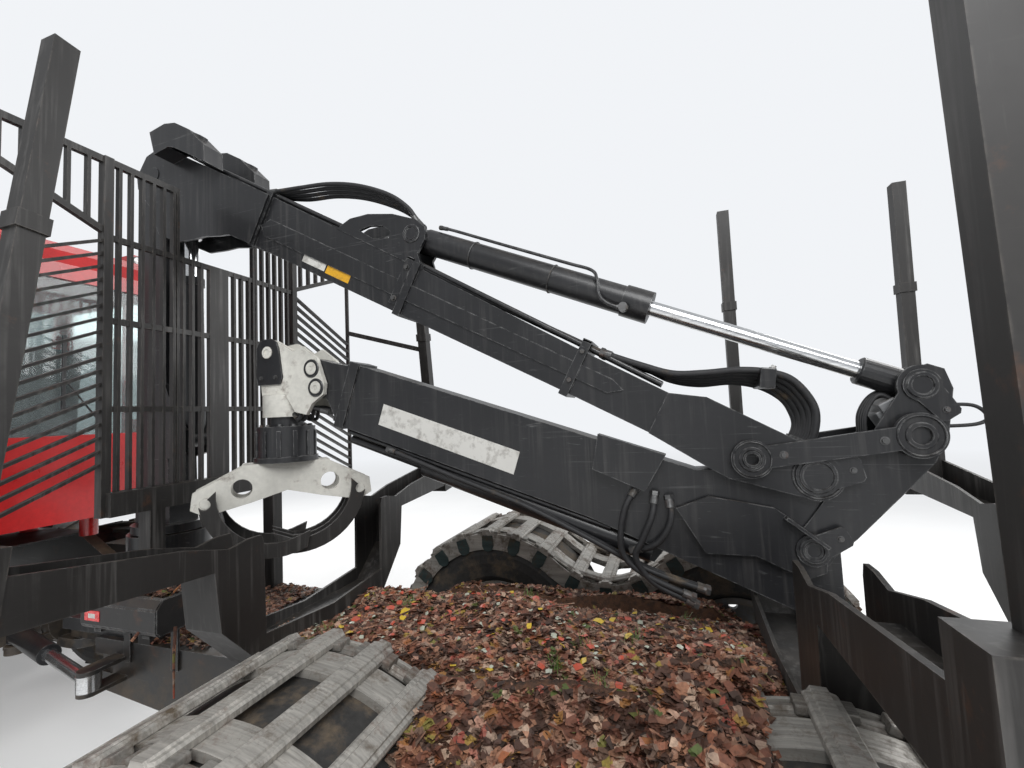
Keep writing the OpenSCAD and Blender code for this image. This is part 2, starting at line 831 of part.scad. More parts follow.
rail_x = 150;
module rear_frame() {
  color("dimgray") {
    z0 = frame_bot;
    z1 = frame_top;
    for (s = side)
      difference() {
        translate([0, s > 0 ? frame_half - rail_t : -frame_half, 0])
          slabby(rail_t, [[rail_x, z0 + 60], [rail_x, z1], [rear_x + 60, z1], [rear_x + 60, z0 + 120],
            [rear_x + 900, z0], [rail_x - 500, z0]]);
        for (x = [rear_bogie_x - 1500, rear_bogie_x - 900, rear_bogie_x + 620, rear_bogie_x + 1100])
          yrod([x, (z0 + z1) / 2], 62, -600, 600);
        yrod([rear_bogie_x, rear_axle_z + 10], axle_r + slip, -600, 600);
        translate([0, 0, roll_z - 46])
          linear_extrude(92)
            polygon([[rail_x - 150, s * (frame_half + 1)], [rail_x + 1, s * (frame_half + 1)], [rail_x + 1, s * (frame_half - 40)]]);
      }
    translate([rear_x + 60, -frame_half + rail_t - 1, z1 - 14])
      cube([rail_x - rear_x - 60, (frame_half - rail_t) * 2 + 2, 14]);
    for (x = [rail_x - 60, -1500, -3500, rear_x + 80])
      translate([x, -frame_half + rail_t - 20, z0 + 130])
        cube([60, (frame_half - rail_t + 20) * 2, z1 - z0 - 131]);
    // neck under the crane and the pivot knuckle
    translate([rail_x - 60, -200, z0 + 60])
      cube([480, 400, z1 - z0 - 61]);
    translate([rail_x + 400, -110, roll_z - 104])
      cube([hinge_x - rail_x - 400, 220, 208]);
    translate([hinge_x, 0, roll_z - 104])
      cylinder(r = 110, h = 208);
    translate([hinge_x, 0, roll_z - 176])
      cylinder(r = hinge_r, h = 352);
    // ears for the steering rods
    for (s = side)
      for (z = [roll_z - 62, roll_z + 42])
        translate([steer_foot[0], s * steer_foot[1], z]) {
          cylinder(r = 50, h = 20);
          translate([-50, s > 0 ? -steer_foot[1] + frame_half - 1 : 0, 0])
            cube([100, steer_foot[1] - frame_half + 1, 20]);
        }
    // rear bumper
    translate([rear_x, -frame_half - 150, z0 + 100])
      cube([60, frame_half * 2 + 300, 260]);
    // tow hook
    difference() {
      slab(-30, 30, [[rear_x + 60, z0 + 20], [rear_x + 250, z0 + 20], [rear_x + 250, z0 + 140], [rear_x + 55, z0 + 140]]);
      yrod([rear_x + 130, z0 + 72], 22, -50, 50);
    }
  }
}

module rear_axle() {
  color("dimgray")
    axle_tube(rear_bogie_x, rear_axle_z);
}

module rear_bogie_left() {
  color("dimgray")
    bogie_beam(rear_bogie_x, rear_axle_z, 1);
}

module rear_bogie_right() {
  color("dimgray")
    bogie_beam(rear_bogie_x, rear_axle_z, -1);
}

module rear_pair(s) {
  for (e = side)
    translate([rear_bogie_x + e * bogie_half, s * track_half, rear_axle_z])
      rotate([s > 0 ? -90 : 90, 0, 0])
        children();
}

module rear_tyres_left() {
  color("black")
    rear_pair(1)
      worn_tyre();
}

module rear_tyres_right() {
  color("black")
    rear_pair(-1)
      worn_tyre();
}

// the tyre inside a track: plain, out to the track band
module worn_tyre() {
  w = tyre_w / 2;
  rotate_extrude($fn = 48)
    polygon([[rim_r, -w * 0.76], [rim_r + 18, -w * 0.76], [rim_r + 60, -w * 0.95], [rim_r + 150, -w], [tyre_r - 90, -w], [tyre_r - 22, -w * 0.93],
      [lug_r, -w * 0.7], [lug_r, w * 0.7], [tyre_r - 22, w * 0.93], [tyre_r - 90, w], [rim_r + 150, w],
      [rim_r + 60, w * 0.95], [rim_r + 18, w * 0.76], [rim_r, w * 0.76]]);
}

module rear_rims_left() {
  color("silver")
    rear_pair(1)
      rim();
}

module rear_rims_right() {
  color("silver")
    rear_pair(-1)
      rim();
}

module track_left() {
  color("silver")
    track(1);
}

module track_right() {
  color("silver")
    track(-1);
}

// bunk cheek outline in the YZ plane, left half: lug at the inside, arm to the outside
bunk_in = 475;
bunk_lug = 1690;
function bunk_low() = [[0, frame_top + slip], [frame_half + 20, frame_top + slip], [700, 1330], [730, 1590],
  [stake_y - 60, bunk_end_z - 170]];
function cheek() = concat(bunk_low(), [[stake_y - 60, bunk_end_z], [860, bunk_end_z - 80], [660, bunk_end_z - 130],
  [560, bunk_lug], [bunk_in + 12, bunk_lug], [bunk_in, bunk_lug - 40], [bunk_in - 8, 1230], [0, 1190]]);

// the front stakes lean inward, as they stand in their worn sockets
function stake_lean(x) = x == bunk_front_x ? 7 : 2;

module bunk(x) {
  t = 16;
  translate([x, 0, 0]) {
    for (s = side)
      for (e = side)
        translate([e > 0 ? bunk_w / 2 - t : -bunk_w / 2, 0, 0])
          rotate([90, 0, 90])
            linear_extrude(t)
              polygon([for (p = cheek()) [s * p[0], p[1]]]);
    // floor and end plates of the channel
    for (s = side)
      translate([-bunk_w / 2 + 1, 0, 0])
        rotate([90, 0, 90])
          linear_extrude(bunk_w - 2)
            polygon([for (p = concat(bunk_low(), [[stake_y - 60, bunk_end_z - 154], [722, 1606], [685, 1342],
              [bunk_in - 10, 1150], [0, 1150]])) [s * p[0], p[1]]]);
    // socket for the stake
    for (s = side)
      translate([0, s * stake_y, bunk_end_z - 215])
        rotate([s * stake_lean(x), 0, 0])
          difference() {
            translate([-bunk_w / 2 - 4, -60, 0])
              cube([bunk_w + 8, 120, 305]);
            translate([-stake_w / 2 - slip, -stake_w / 2 - slip, 35])
              cube([stake_w + 2 * slip, stake_w + 2 * slip, 500]);
          }
  }
}

module load_bunks() {
  color("black")
    for (x = [bunk_front_x, bunk_mid_x, bunk_rear_x])
      bunk(x);
}

module load_stakes() {
  color("black")
    for (x = [bunk_front_x, bunk_mid_x, bunk_rear_x])
      for (s = side)
        translate([x, s * stake_y, bunk_end_z - 215])
          rotate([s * stake_lean(x), 0, 0]) {
            translate([-stake_w / 2, -stake_w / 2, 35 + slip])
              cube([stake_w, stake_w, stake_top - bunk_end_z + 180]);
            translate([-stake_w / 2 - 8, -stake_w / 2 - 8, 1295])
              cube([stake_w + 16, stake_w + 16, 60]);
          }
}

// load gate: base beam, three cross bars, upright bars, wings with slanted bars
module gate_bar(y, z0, z1) {
  translate([gate_x - gate_t / 2, y - bar_w / 2, z0])
    cube([gate_t, bar_w, z1 - z0]);
}

wing_drop = 0.47;
module load_gate() {
  color("dimgray") {
    z0 = gate_bot + 120;
    // base beam
    translate([gate_x - 60, -gate_mid, gate_bot])
      cube([90, gate_mid * 2, 120]);
    // cross bars of the middle part
    for (z = [2310, 2770])
      translate([gate_x - 12, -gate_mid, z])
        cube([24, gate_mid * 2, 30]);
    translate([gate_x - 12, -gate_mid, notch_z - 30])
      cube([24, gate_mid * 2, 30]);
    for (s = side)
      translate([gate_x - gate_t / 2, s > 0 ? notch_half : -gate_half, gate_top - 34])
        cube([gate_t, gate_half - notch_half, 34]);
    // upright bars
    for (n = [1:floor((gate_mid - 30) / bar_pitch)])
      for (s = side)
        gate_bar(s * n * bar_pitch, z0 - 5, n * bar_pitch > notch_half ? gate_top - 10 : notch_z - 1);
    gate_bar(0, z0 - 5, notch_z - 1);
    translate([gate_x - gate_t / 2, -55, z0 - 5])
      cube([gate_t, 110, notch_z - z0]);
    // notch edges and outer posts of the middle part
    for (s = side) {
      translate([gate_x - gate_t / 2, s * (notch_half + 8) - 8, z0 - 5])
        cube([gate_t, 16, gate_top - z0]);
      translate([gate_x - gate_t / 2 - 10, s * gate_mid - 22, gate_bot])
        cube([gate_t + 20, 44, gate_top - gate_bot]);
    }
    // wings: rising rail, upright bars over it, slanted bars under it
    for (s = side) {
      translate([gate_x - gate_t / 2, 0, 0])
        rotate([90, 0, 90])
          linear_extrude(gate_t)
            polygon([for (p = [[gate_mid, 3230], [gate_mid, 3264], [1020, 3424], [gate_half, 3540], [gate_half, 3506],
              [1020, 3390]]) [s * p[0], p[1]]]);
      for (n = [1:7])
        gate_bar(s * (gate_mid + n * 85), 3240 + n * 36, gate_top - 10);
      gate_bar(s * (gate_half - 8), 1740, gate_top - 1);
      for (n = [0:17])
        translate([gate_x - gate_t / 2, 0, 0])
          rotate([90, 0, 90])
            linear_extrude(gate_t)
              polygon([for (p = [[gate_mid, 3200 - n * 68], [gate_half, 3200 - n * 68 - (gate_half - gate_mid) * wing_drop],
                [gate_half, 3200 - n * 68 + 16 - (gate_half - gate_mid) * wing_drop], [gate_mid, 3216 - n * 68]]) [s * p[0], p[1]]]);
    }
    // legs down to the frame
    for (s = side)
      translate([gate_x - 60, s > 0 ? frame_half - 80 : -frame_half, frame_top + slip])
        cube([90, 80, gate_bot - frame_top]);
    // stays from the wings back to the front stakes
    for (s = side)
      slab(s > 0 ? gate_half - 30 : -gate_half, s > 0 ? gate_half : -gate_half + 30,
        [[gate_x, 2990], [gate_x, 3030], [bunk_front_x + stake_w / 2 + 1, 2820], [bunk_front_x + stake_w / 2 + 1, 2780]]);
  }
}

module crane_base() {
  color("dimgray") {
    translate([pillar_x - 330, -frame_half + 30, frame_top + slip])
      cube([620, frame_half * 2 - 60, 70]);
    translate([pillar_x, 0, frame_top + 60]) {
      difference() {
        union() {
          cylinder(r = 230, h = 420);
          cylinder(r = 270, h = 50);
          translate([-230, -150, 90])
            cube([460, 300, 200]);
          for (s = side)
            translate([0, s * 330, 190])
              rotate([0, 90, 0])
                cylinder(r = 75, h = 420, center = true);
          translate([-60, -330, 120])
            cube([120, 660, 140]);
        }
        translate([0, 0, 40])
          cylinder(r = 150 + slip, h = 500);
      }
    }
  }
}

pillar_z = frame_top + 60 + 420 + fit;
module crane_pillar() {
  color("dimgray") {
    translate([pillar_x, 0, frame_top + 110])
      cylinder(r = 150, h = pillar_z - frame_top - 100);
    translate([pillar_x, 0, pillar_z])
      cylinder(r = 210, h = 50);
    // column
    difference() {
      union() {
        slab(-95, 95, [[pillar_x - 120, pillar_z + 40], [pillar_x + 190, pillar_z + 40], [pillar_x + 180, 3200],
          [pillar_x + 110, 3800], [pillar_x - 80, 3800], [pillar_x - 60, 3000], [pillar_x - 95, 2300]]);
        yrod(base, 125, -95, 95);
        yrod(base, 48, -124, 124);
        slabs(80, 110, [[pillar_x - 100, 2020], [lift_foot[0] - 60, 2060], [lift_foot[0] - 70, 2200],
          [lift_foot[0] - 20, 2240], [pillar_x - 90, 2500], [pillar_x + 60, 2500], [pillar_x + 60, 2020]]);
      }
      slab(-78, 78, [[pillar_x - 125, 2030], [pillar_x - 400, 2030], [pillar_x - 400, 3900], [pillar_x - 125, 3900]]);
    }
    yrod(lift_foot, 32, -112, 112);
  }
}

// [u, v] outline of the main boom's side: base, top, knee, underside
boom_side = [[-150, -60], [-130, 90], [-40, 180], [200, boom_up_base], [960, boom_up_base - 12], [2118, 130],
  [3120, boom_up_knee + 15], [boom_l - 500, boom_up_knee], [boom_l - 200, -135], [boom_l - 600, -135],
  [3120, -boom_down], [960, -boom_down - 8], [820, -boom_down - 12], [760, -190], [700, -235], [640, -255],
  [560, -262], [420, -330], [240, -340], [60, -200], [-100, -130]];

function in_m(pts) = [for (p = pts) M(p[0], p[1])];
function in_j(pts) = [for (p = pts) J(p[0], p[1])];

lamp_half = 245;
lamp_hood = [[36, 233], [140, 317], [226, 346], [361, 341], [476, 306], [527, 291], [582, 199], [430, 203], [291, 205],
  [241, 195], [147, 117]];
module main_boom() {
  color("dimgray") {
    // side plates of the base and the closed box behind them
    difference() {
      union() {
        slabs(105, 120, in_m([[-150, -60], [-130, 90], [-40, 180], [200, boom_up_base], [1000, boom_up_base - 14],
          [1000, -boom_down - 8], [820, -boom_down - 12], [760, -170], [640, -215], [560, -262], [420, -330],
          [240, -340], [60, -200], [-100, -130]]));
        slab(-106, 106, in_m([[560, -40], [700, boom_up_base - 6], [1000, boom_up_base - 14], [1000, -boom_down - 8],
          [850, -boom_down - 8]]));
        slab(-106, 106, in_m([[160, boom_up_base - 14], [160, boom_up_base], [1000, boom_up_base - 14], [1000, boom_up_base - 30]]));
      }
      yrod(base, 48 + slip, -200, 200);
    }
    yrods(lift_top, 34, 66, 122);
    // box of the boom with its side ridge
    slab(-boom_half, boom_half, in_m([[990, boom_up_base - 14], [2118, 132], [3120, boom_up_knee + 15], [boom_l - 430, boom_up_knee - 8],
      [boom_l - 240, -60], [boom_l - 300, -75], [boom_l - 370, -134], [3120, -boom_down], [990, -boom_down - 8]]));
    slabs(boom_half - 1, boom_half + 9, in_m([[1060, 46], [3300, 14], [3360, -10], [3300, -52], [1060, -60], [1010, -8]]));
    // knee plates
    difference() {
      union() {
        for (s = side) {
          y0 = s > 0 ? boom_half - 1 : -boom_half - plate_t - 7;
          y1 = s > 0 ? boom_half + plate_t + 7 : -boom_half + 1;
          slab(y0 + (s > 0 ? 0 : 0), y1, in_m([[boom_l - 640, boom_up_knee - 2], [boom_l - 493, 109],
            [boom_l - 83, 94], [boom_l + 74, 67], [boom_l + 95, 32], [boom_l + 51, -86], [boom_l - 273, -160],
            [boom_l - 373, -156], [boom_l - 640, -134]]));
          yrod(knee, 97, y0, y1);
          yrod(link_a, 80, y0, y1);
        }
      }
      slab(-boom_half - 0.5, boom_half + 0.5, in_m([[boom_l - 240, -300], [boom_l - 240, 300], [boom_l + 300, 300], [boom_l + 300, -300]]));
    }
    difference() {
      yrod(knee, 50, -boom_half - plate_t - 14, boom_half + plate_t + 14);
      yrods(knee, 38, boom_half + plate_t - 40, boom_half + plate_t + 30);
    }
    difference() {
      yrod(link_a, 34, -link_y1 - 8, link_y1 + 8);
      yrods(link_a, 24, link_y1 - 50, link_y1 + 30);
    }
    // straps: [place along the boom]
    for (u = [990, 2118, 3120])
      slab(-boom_half - 16, boom_half + 16, in_m([[u - 22, 20 + boom_up_at(u)], [u + 22, 20 + boom_up_at(u)],
        [u + 22, -boom_down - 18], [u - 22, -boom_down - 18]]));
    // bracket of the knee cylinder's foot
    difference() {
      slabs(75, 93, in_m([[1540, 150], [1600, 230], [1700, 290], [1850, 340], [2000, 358], [2070, 340], [2100, 280], [2090, 200],
        [2160, 128]]));
      slabs(60, 110, in_m([[1690, 190], [1740, 232], [1820, 262], [1880, 250], [1890, 215], [1800, 178]]));
    }
    yrod(knee_foot, 32, -97, 97);
    // a lamp hood on each side of the base, open below, with its lamp
    difference() {
      slabs(118, lamp_half, in_m(lamp_hood));
      slabs(128, lamp_half - 10, in_m([[250, 180], [176, 318], [228, 336], [359, 331], [472, 296], [519, 282], [570, 180]]));
    }
    for (s = side)
      prod(M(380, 334), M(392, 220), 50, 0, 100, s * (lamp_half - 58));
    // steel pipes and hoses along the top
    for (y = [-52, -18, 18, 52])
      translate([0, y, 0])
        prod(M(150, boom_up_base + 26), M(2000, 165), 13, 0, 1560);
    for (y = [-52, -18, 18, 52])
      prod(M(2020, 158), M(3500, 85), 13, 0, 1480, y);
  }
}

function boom_up_at(u) = u < 2118 ? boom_up_base - 14 + (132 - boom_up_base + 14) * (u - 990) / 1128
  : 132 + (boom_up_knee + 15 - 132) * (u - 2118) / 1002;
link_y0 = boom_half + plate_t + 12;
link_y1 = link_y0 + 20;

module lift_barrel() {
  color("dimgray") {
    difference() {
      union() {
        prod(lift_foot, lift_top, lift_barrel_r, 20, 1050);
        yrod(lift_foot, 62, -70, 70);
        prod(lift_foot, lift_top, lift_barrel_r + 8, 1000, 1050);
      }
      prod(lift_foot, lift_top, lift_rod_r + slip, 120, 1100);
      yrod(lift_foot, 32 + slip, -100, 100);
    }
  }
}

module lift_rod() {
  color("silver")
    difference() {
      union() {
        prod(lift_foot, lift_top, lift_rod_r, 520, span(lift_foot, lift_top) - 40);
        yrod(lift_top, 58, -60, 60);
      }
      yrods(lift_top, 20, 40, 100);
    }
}

module knee_barrel() {
  color("black")
    difference() {
      union() {
        prod(knee_foot, crank_e, knee_barrel_r, 60, knee_barrel_l);
        prod(knee_foot, crank_e, knee_barrel_r + 7, knee_barrel_l - 120, knee_barrel_l + 8);
        prod(knee_foot, crank_e, knee_barrel_r - 12, 20, 100);
        yrod(knee_foot, 64, -70, 70);
      }
      prod(knee_foot, crank_e, knee_rod_r + slip, 150, 2000);
      yrod(knee_foot, 32 + slip, -100, 100);
    }
}

module knee_rod() {
  color("silver")
    difference() {
      union() {
        prod(knee_foot, crank_e, knee_rod_r, 1180, span(knee_foot, crank_e) - 50);
        prod(knee_foot, crank_e, knee_rod_r + 17, span(knee_foot, crank_e) - 160, span(knee_foot, crank_e) - 30);
        yrod(crank_e, 66, -58, 58);
      }
      yrods(crank_e, 20, 40, 100);
    }
}

module knee_links() {
  color("dimgray") {
    for (s = side)
      difference() {
        link(link_a, link_b, 78, 84, 44, s > 0 ? link_y0 : -link_y1, s > 0 ? link_y1 : -link_y0);
        yrod(link_a, 34 + slip, -200, 200);
        yrod(link_b, 34, s > 0 ? link_y1 - 6 : -200, s > 0 ? 200 : -link_y1 + 6);
      }
    yrods(link_b, 37, crank_y1 + 5, link_y0 + 2);
  }
}

crank_y0 = jib_half + 4;
crank_y1 = boom_half - 4;
module knee_crank() {
  color("dimgray") {
    for (s = side)
      difference() {
        union() {
          slab(s > 0 ? crank_y0 : -crank_y1 - 3, s > 0 ? crank_y1 + 3 : -crank_y0, in_m([[boom_l + 36, -262], [boom_l + 51, -188],
            [boom_l + 96, 152], [boom_l + 107, 333], [boom_l + 118, 512], [boom_l + 150, 552], [boom_l + 205, 556],
            [boom_l + 259, 500], [boom_l + 318, 330], [boom_l + 322, 226], [boom_l + 295, 114], [boom_l + 223, -158],
            [boom_l + 186, -262]]));
          yrod(crank_d, 82, s > 0 ? crank_y0 : -crank_y1 - 3, s > 0 ? crank_y1 + 3 : -crank_y0);
          yrod(crank_e, 78, s > 0 ? crank_y0 : -crank_y1 - 3, s > 0 ? crank_y1 + 3 : -crank_y0);
          yrod(link_b, 88, s > 0 ? crank_y0 : -crank_y1 - 3, s > 0 ? crank_y1 + 3 : -crank_y0);
        }
        yrod(crank_d, 32 + slip, -200, 200);
        yrod(crank_e, 34, -200, 200);
        yrod(link_b, 37, -200, 200);
      }
    // cross tube between the two plates
    yrod(link_b, 52, -crank_y1, crank_y1);
  }
}

module jib() {
  color("dimgray") {
    cut = knee[0] - 64;
    difference() {
      union() {
        intersection() {
          slab(-jib_half, jib_half, in_j([[-400, -jib_drop], [jib_l, -jib_drop], [jib_l, -jib_drop - jib_depth],
            [800, -jib_drop - jib_depth], [-400, -565]]));
          translate([cut, -200, 0])
            cube([5000, 400, 5000]);
        }
        // hinge ears
        slab(-jib_half, jib_half, in_j([[-60, -160], [-75, 0], [60, 10], [420, -jib_drop + 1], [420, -200]]));
        yrod(knee, 92, -jib_half, jib_half);
        // collar at the tip
        slab(-jib_half - 10, jib_half + 10, in_j([[jib_l - 60, -jib_drop + 10], [jib_l, -jib_drop + 10],
          [jib_l, -jib_drop - jib_depth - 10], [jib_l - 60, -jib_drop - jib_depth - 10]]));
      }
      yrod(knee, 50 + slip, -300, 300);
      // hollow for the extension
      slab(-jib_half + jib_wall, jib_half - jib_wall, in_j([[420, -jib_drop - jib_wall], [jib_l + 10, -jib_drop - jib_wall],
        [jib_l + 10, -jib_drop - jib_depth + jib_wall], [420, -jib_drop - jib_depth + jib_wall]]));
    }
    // outer brackets over the crank
    difference() {
      slabs(boom_half + 3, boom_half + 3 + plate_t, [J(460, -300), J(352, -209), J(111, -171), J(63, -186),
        J(-103, -246), J(-126, -351), J(-79, -393), J(8, -393), J(122, -380), J(300, -440)]);
      yrods(crank_d, 26, boom_half - 40, 300);
    }
    slabs(jib_half - 1, boom_half + 4, [J(440, -300), J(250, -252), J(230, -425)]);
    difference() {
      yrod(crank_d, 32, -boom_half - plate_t - 14, boom_half + plate_t + 14);
      yrods(crank_d, 24, boom_half - 40, 300);
    }
    // folded edge on the upper side of each bracket
    slabs(boom_half + 3, boom_half + plate_t + 40, [J(63, -186), J(-103, -246), J(-97, -258), J(69, -198)]);
    // extension cylinder under the box and its lugs
    prod(J(200, -jib_drop - jib_depth - 62), J(2200, -jib_drop - jib_depth - 62), 54, 300, 1500);
    prod(J(200, -jib_drop - jib_depth - 62), J(2200, -jib_drop - jib_depth - 62), 26, 1400, 1980);
    slab(-30, 30, in_j([[440, -jib_drop - jib_depth + 5], [640, -jib_drop - jib_depth + 5], [600, -jib_drop - jib_depth - 100],
      [480, -jib_drop - jib_depth - 100]]));
    slab(-30, 30, in_j([[1500, -jib_drop - jib_depth + 5], [1600, -jib_drop - jib_depth + 5], [1580, -jib_drop - jib_depth - 30],
      [1520, -jib_drop - jib_depth - 30]]));
    // valve cover on the side near the knee
    slab(jib_half - 1, jib_half + 60, in_j([[560, -jib_drop + 30], [860, -jib_drop + 30], [840, -250], [600, -270]]));
    // pipes under the box
    for (y = [50, -50])
      prod(J(700, -jib_drop - jib_depth - 18), J(2200, -jib_drop - jib_depth - 18), 12, 0, 1480, y);
  }
}

ext_y = jib_half - jib_wall - slip;
module jib_extension() {
  color("black")
    difference() {
      union() {
        slab(-ext_y, ext_y, in_j([[900, -jib_drop - jib_wall - slip], [jib_l + 30, -jib_drop - jib_wall - slip],
          [jib_l + 30, -jib_drop - jib_depth + jib_wall + slip], [900, -jib_drop - jib_depth + jib_wall + slip]]));
        slab(-ext_y, ext_y, in_j([[jib_l + 10, -jib_drop - 20], [jib_l + 110, -jib_drop - 30], [jib_l + 235, -158],
          [jib_l + 295, -200], [jib_l + 288, -244], [jib_l + 230, -345], [jib_l + 170, -372], [jib_l + 110, -352],
          [jib_l + 10, -jib_drop - jib_depth + 20]]));
        yrod(tip_1, 60, -ext_y, ext_y);
        yrod(tip_2, 60, -ext_y, ext_y);
      }
      slab(-30, 30, in_j([[800, -jib_drop - 40], [jib_l - 20, -jib_drop - 40], [jib_l - 20, -jib_drop - jib_depth + 40],
        [800, -jib_drop - jib_depth + 40]]));
      yrod(tip_1, 26 + slip, -200, 200);
    }
}

// hanging link: cheeks on the tip pin, crosshead, damper
cross = [rotor_x + 30, 2630];
module tip_link() {
  color("silver") {
    yrod(tip_1, 26, -link_t1 - 3, link_t1 + 3);
    yrods(tip_2, 40, link_t1 - 1, link_t1 + 3);
    for (s = side)
      slab(s > 0 ? link_t0 : -link_t1, s > 0 ? link_t1 : -link_t0,
        [tip_1 + [-35, 58], tip_1 + [65, 134], tip_1 + [125, 110], cross + [-50, 70], cross + [70, 60], cross + [78, -50],
          [rotor_x + 84, hang_z - 60], [rotor_x - 84, hang_z - 60], tip_2 + [150, -130], tip_2 + [70, -150], tip_2 + [30, -90],
          tip_2 + [-50, -40], tip_2 + [-58, 20]]);
    slab(-link_t1, link_t1, [[rotor_x - 70, hang_z + 20], [rotor_x + 70, hang_z + 20], [rotor_x + 70, hang_z - 80], [rotor_x - 70, hang_z - 80]]);
    translate([rotor_x, 0, hang_z - 190])
      cylinder(r = 125, h = 130);
    yrod(cross, 36, -link_t1 - 14, link_t1 + 14);
  }
}

link_t0 = ext_y + 5;
link_t1 = link_t0 + 26;

module rotator() {
  color("dimgray") {
    translate([rotor_x, 0, hang_z - 190 - 45 - 190])
      cylinder(r = 160, h = 180);
    translate([rotor_x, 0, hang_z - 190 - 60])
      cylinder(r = 100, h = 60 - slip);
    translate([rotor_x, 0, hang_z - 190 - 45 - 190 - 25])
      cylinder(r = 175, h = 30);
  }
}

frame_z = hang_z - 450;
module in_grapple() {
  translate([rotor_x, 0, 0])
    rotate([0, 0, grapple_yaw])
      children();
}

module grapple_frame() {
  color("silver")
    in_grapple() {
      difference() {
        union() {
          slabs(60, 90, [[-jaw_half - 70, jaw_z - 30], [-jaw_half - 60, jaw_z + 60], [-230, frame_z - 10], [230, frame_z - 10],
            [jaw_half + 60, jaw_z + 60], [jaw_half + 70, jaw_z - 30], [jaw_half, jaw_z - 70], [180, jaw_z - 20],
            [0, jaw_z + 30], [-180, jaw_z - 20], [-jaw_half, jaw_z - 70]]);
          slab(-90, 90, [[-240, frame_z - 40], [-230, frame_z - slip], [230, frame_z - slip], [240, frame_z - 40]]);
          slab(-90, 90, [[-60, jaw_z + 40], [-60, frame_z - 20], [60, frame_z - 20], [60, jaw_z + 40]]);
        }
        for (s = side)
          translate([s * 230, 0, jaw_z + 60])
            rotate([90, 0, 0])
              cylinder(r = 52, h = 400, center = true);
        for (s = side)
          yrod([s * jaw_half, jaw_z], 28 + slip, -200, 200);
      }
      for (s = side)
        yrod([s * jaw_half, jaw_z], 28, -94, 94);
    }
}

// jaw: a curved blade with three tines, hinged at one end
function arc(c, r, a0, a1, n) = [for (i = [0:n]) [c[0] + r * cos(a0 + (a1 - a0) * i / n), c[1] + r * sin(a0 + (a1 - a0) * i / n)]];
module jaw(s) {
  c = [s * 60, jaw_z + 40];
  outer = 370;
  inner = 290;
  web = 20;
  // [blade from y, to y]; the rear jaw is the narrow one that closes between the blades of the front jaw
  ys = s > 0 ? [[-150, -126], [126, 150]] : [[-120, -96], [-12, 12], [96, 120]];
  tip = s > 0 ? -115 : 280;
  hook = s > 0 ? [c[0] - 175, c[1] - 245] : [80, c[1] - 240];
  a0 = s > 0 ? -8 : 188;
  w0 = s > 0 ? -20 : 200;
  w1 = s > 0 ? -95 : 275;
  difference() {
    union() {
      for (y = ys)
        slab(y[0], y[1], concat(arc(c, outer, a0, tip, 12), [hook], arc(c, inner, s > 0 ? -108 : 276, s > 0 ? 5 : 175, 12)));
      slab(ys[0][0] + 1, ys[len(ys) - 1][1] - 1, concat(arc(c, outer, w0, w1, 12), arc(c, outer - web, w1, w0, 12)));
      yrod([s * jaw_half, jaw_z], 55, -56, 56);
      slab(-50, 50, [[s * (jaw_half - 50), jaw_z - 10], [s * (jaw_half + 45), jaw_z - 10], [s * (jaw_half + 20), jaw_z - 130],
        [s * (jaw_half - 80), jaw_z - 130]]);
    }
    yrod([s * jaw_half, jaw_z], 28 + slip, -300, 300);
    for (q = side)
      slab(q > 0 ? 57 : -100, q > 0 ? 100 : -57, [[s * (jaw_half - 130), jaw_z - 75], [s * (jaw_half + 200), jaw_z - 75],
        [s * (jaw_half + 200), jaw_z + 300], [s * (jaw_half - 130), jaw_z + 300]]);
  }
}

module jaw_front() {
  color("dimgray")
    in_grapple()
      jaw(1);
}

module jaw_rear() {
  color("dimgray")
    in_grapple()
      jaw(-1);
}

front_frame();
engine_block();
engine_hood();
cab_body();
cab_glass();
cab_door();
door_glass();
cab_seat();
front_fenders();
front_axle();
front_bogie_left();
front_bogie_right();
tyre_left_1();
tyre_left_2();
tyre_right_1();
tyre_right_2();
rim_left_1();
rim_left_2();
rim_right_1();
rim_right_2();
centre_joint();
steer_barrel_left();
steer_barrel_right();
steer_rod_left();
steer_rod_right();
rear_frame();
rear_axle();
rear_bogie_left();
rear_bogie_right();
rear_tyres_left();
rear_tyres_right();
rear_rims_left();
rear_rims_right();
track_left();
track_right();
load_bunks();
load_stakes();
load_gate();
crane_base();
crane_pillar();
main_boom();
lift_barrel();
lift_rod();
knee_barrel();
knee_rod();
knee_links();
knee_crank();
jib();
jib_extension();
tip_link();
rotator();
grapple_frame();
jaw_front();
jaw_rear();
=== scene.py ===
"""Forestry forwarder: materials, hoses, litter and small parts over the CAD model, and the studio."""
from math import atan, cos, degrees, pi, radians, sin, tan
from random import gauss, random, randrange, seed, uniform

import bmesh
import bpy
from mathutils import Matrix, Vector


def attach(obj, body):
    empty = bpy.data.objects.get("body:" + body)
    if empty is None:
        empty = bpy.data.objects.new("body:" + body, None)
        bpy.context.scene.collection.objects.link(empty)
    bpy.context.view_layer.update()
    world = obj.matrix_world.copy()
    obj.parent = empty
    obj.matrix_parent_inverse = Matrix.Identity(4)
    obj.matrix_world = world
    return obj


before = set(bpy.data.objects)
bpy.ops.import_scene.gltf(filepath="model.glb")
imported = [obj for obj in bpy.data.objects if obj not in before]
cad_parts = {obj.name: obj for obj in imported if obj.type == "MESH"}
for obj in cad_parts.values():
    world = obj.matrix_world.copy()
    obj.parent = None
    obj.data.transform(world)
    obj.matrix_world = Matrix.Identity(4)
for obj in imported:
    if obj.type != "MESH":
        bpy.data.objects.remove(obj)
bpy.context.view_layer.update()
scene = bpy.context.scene
seed(7)

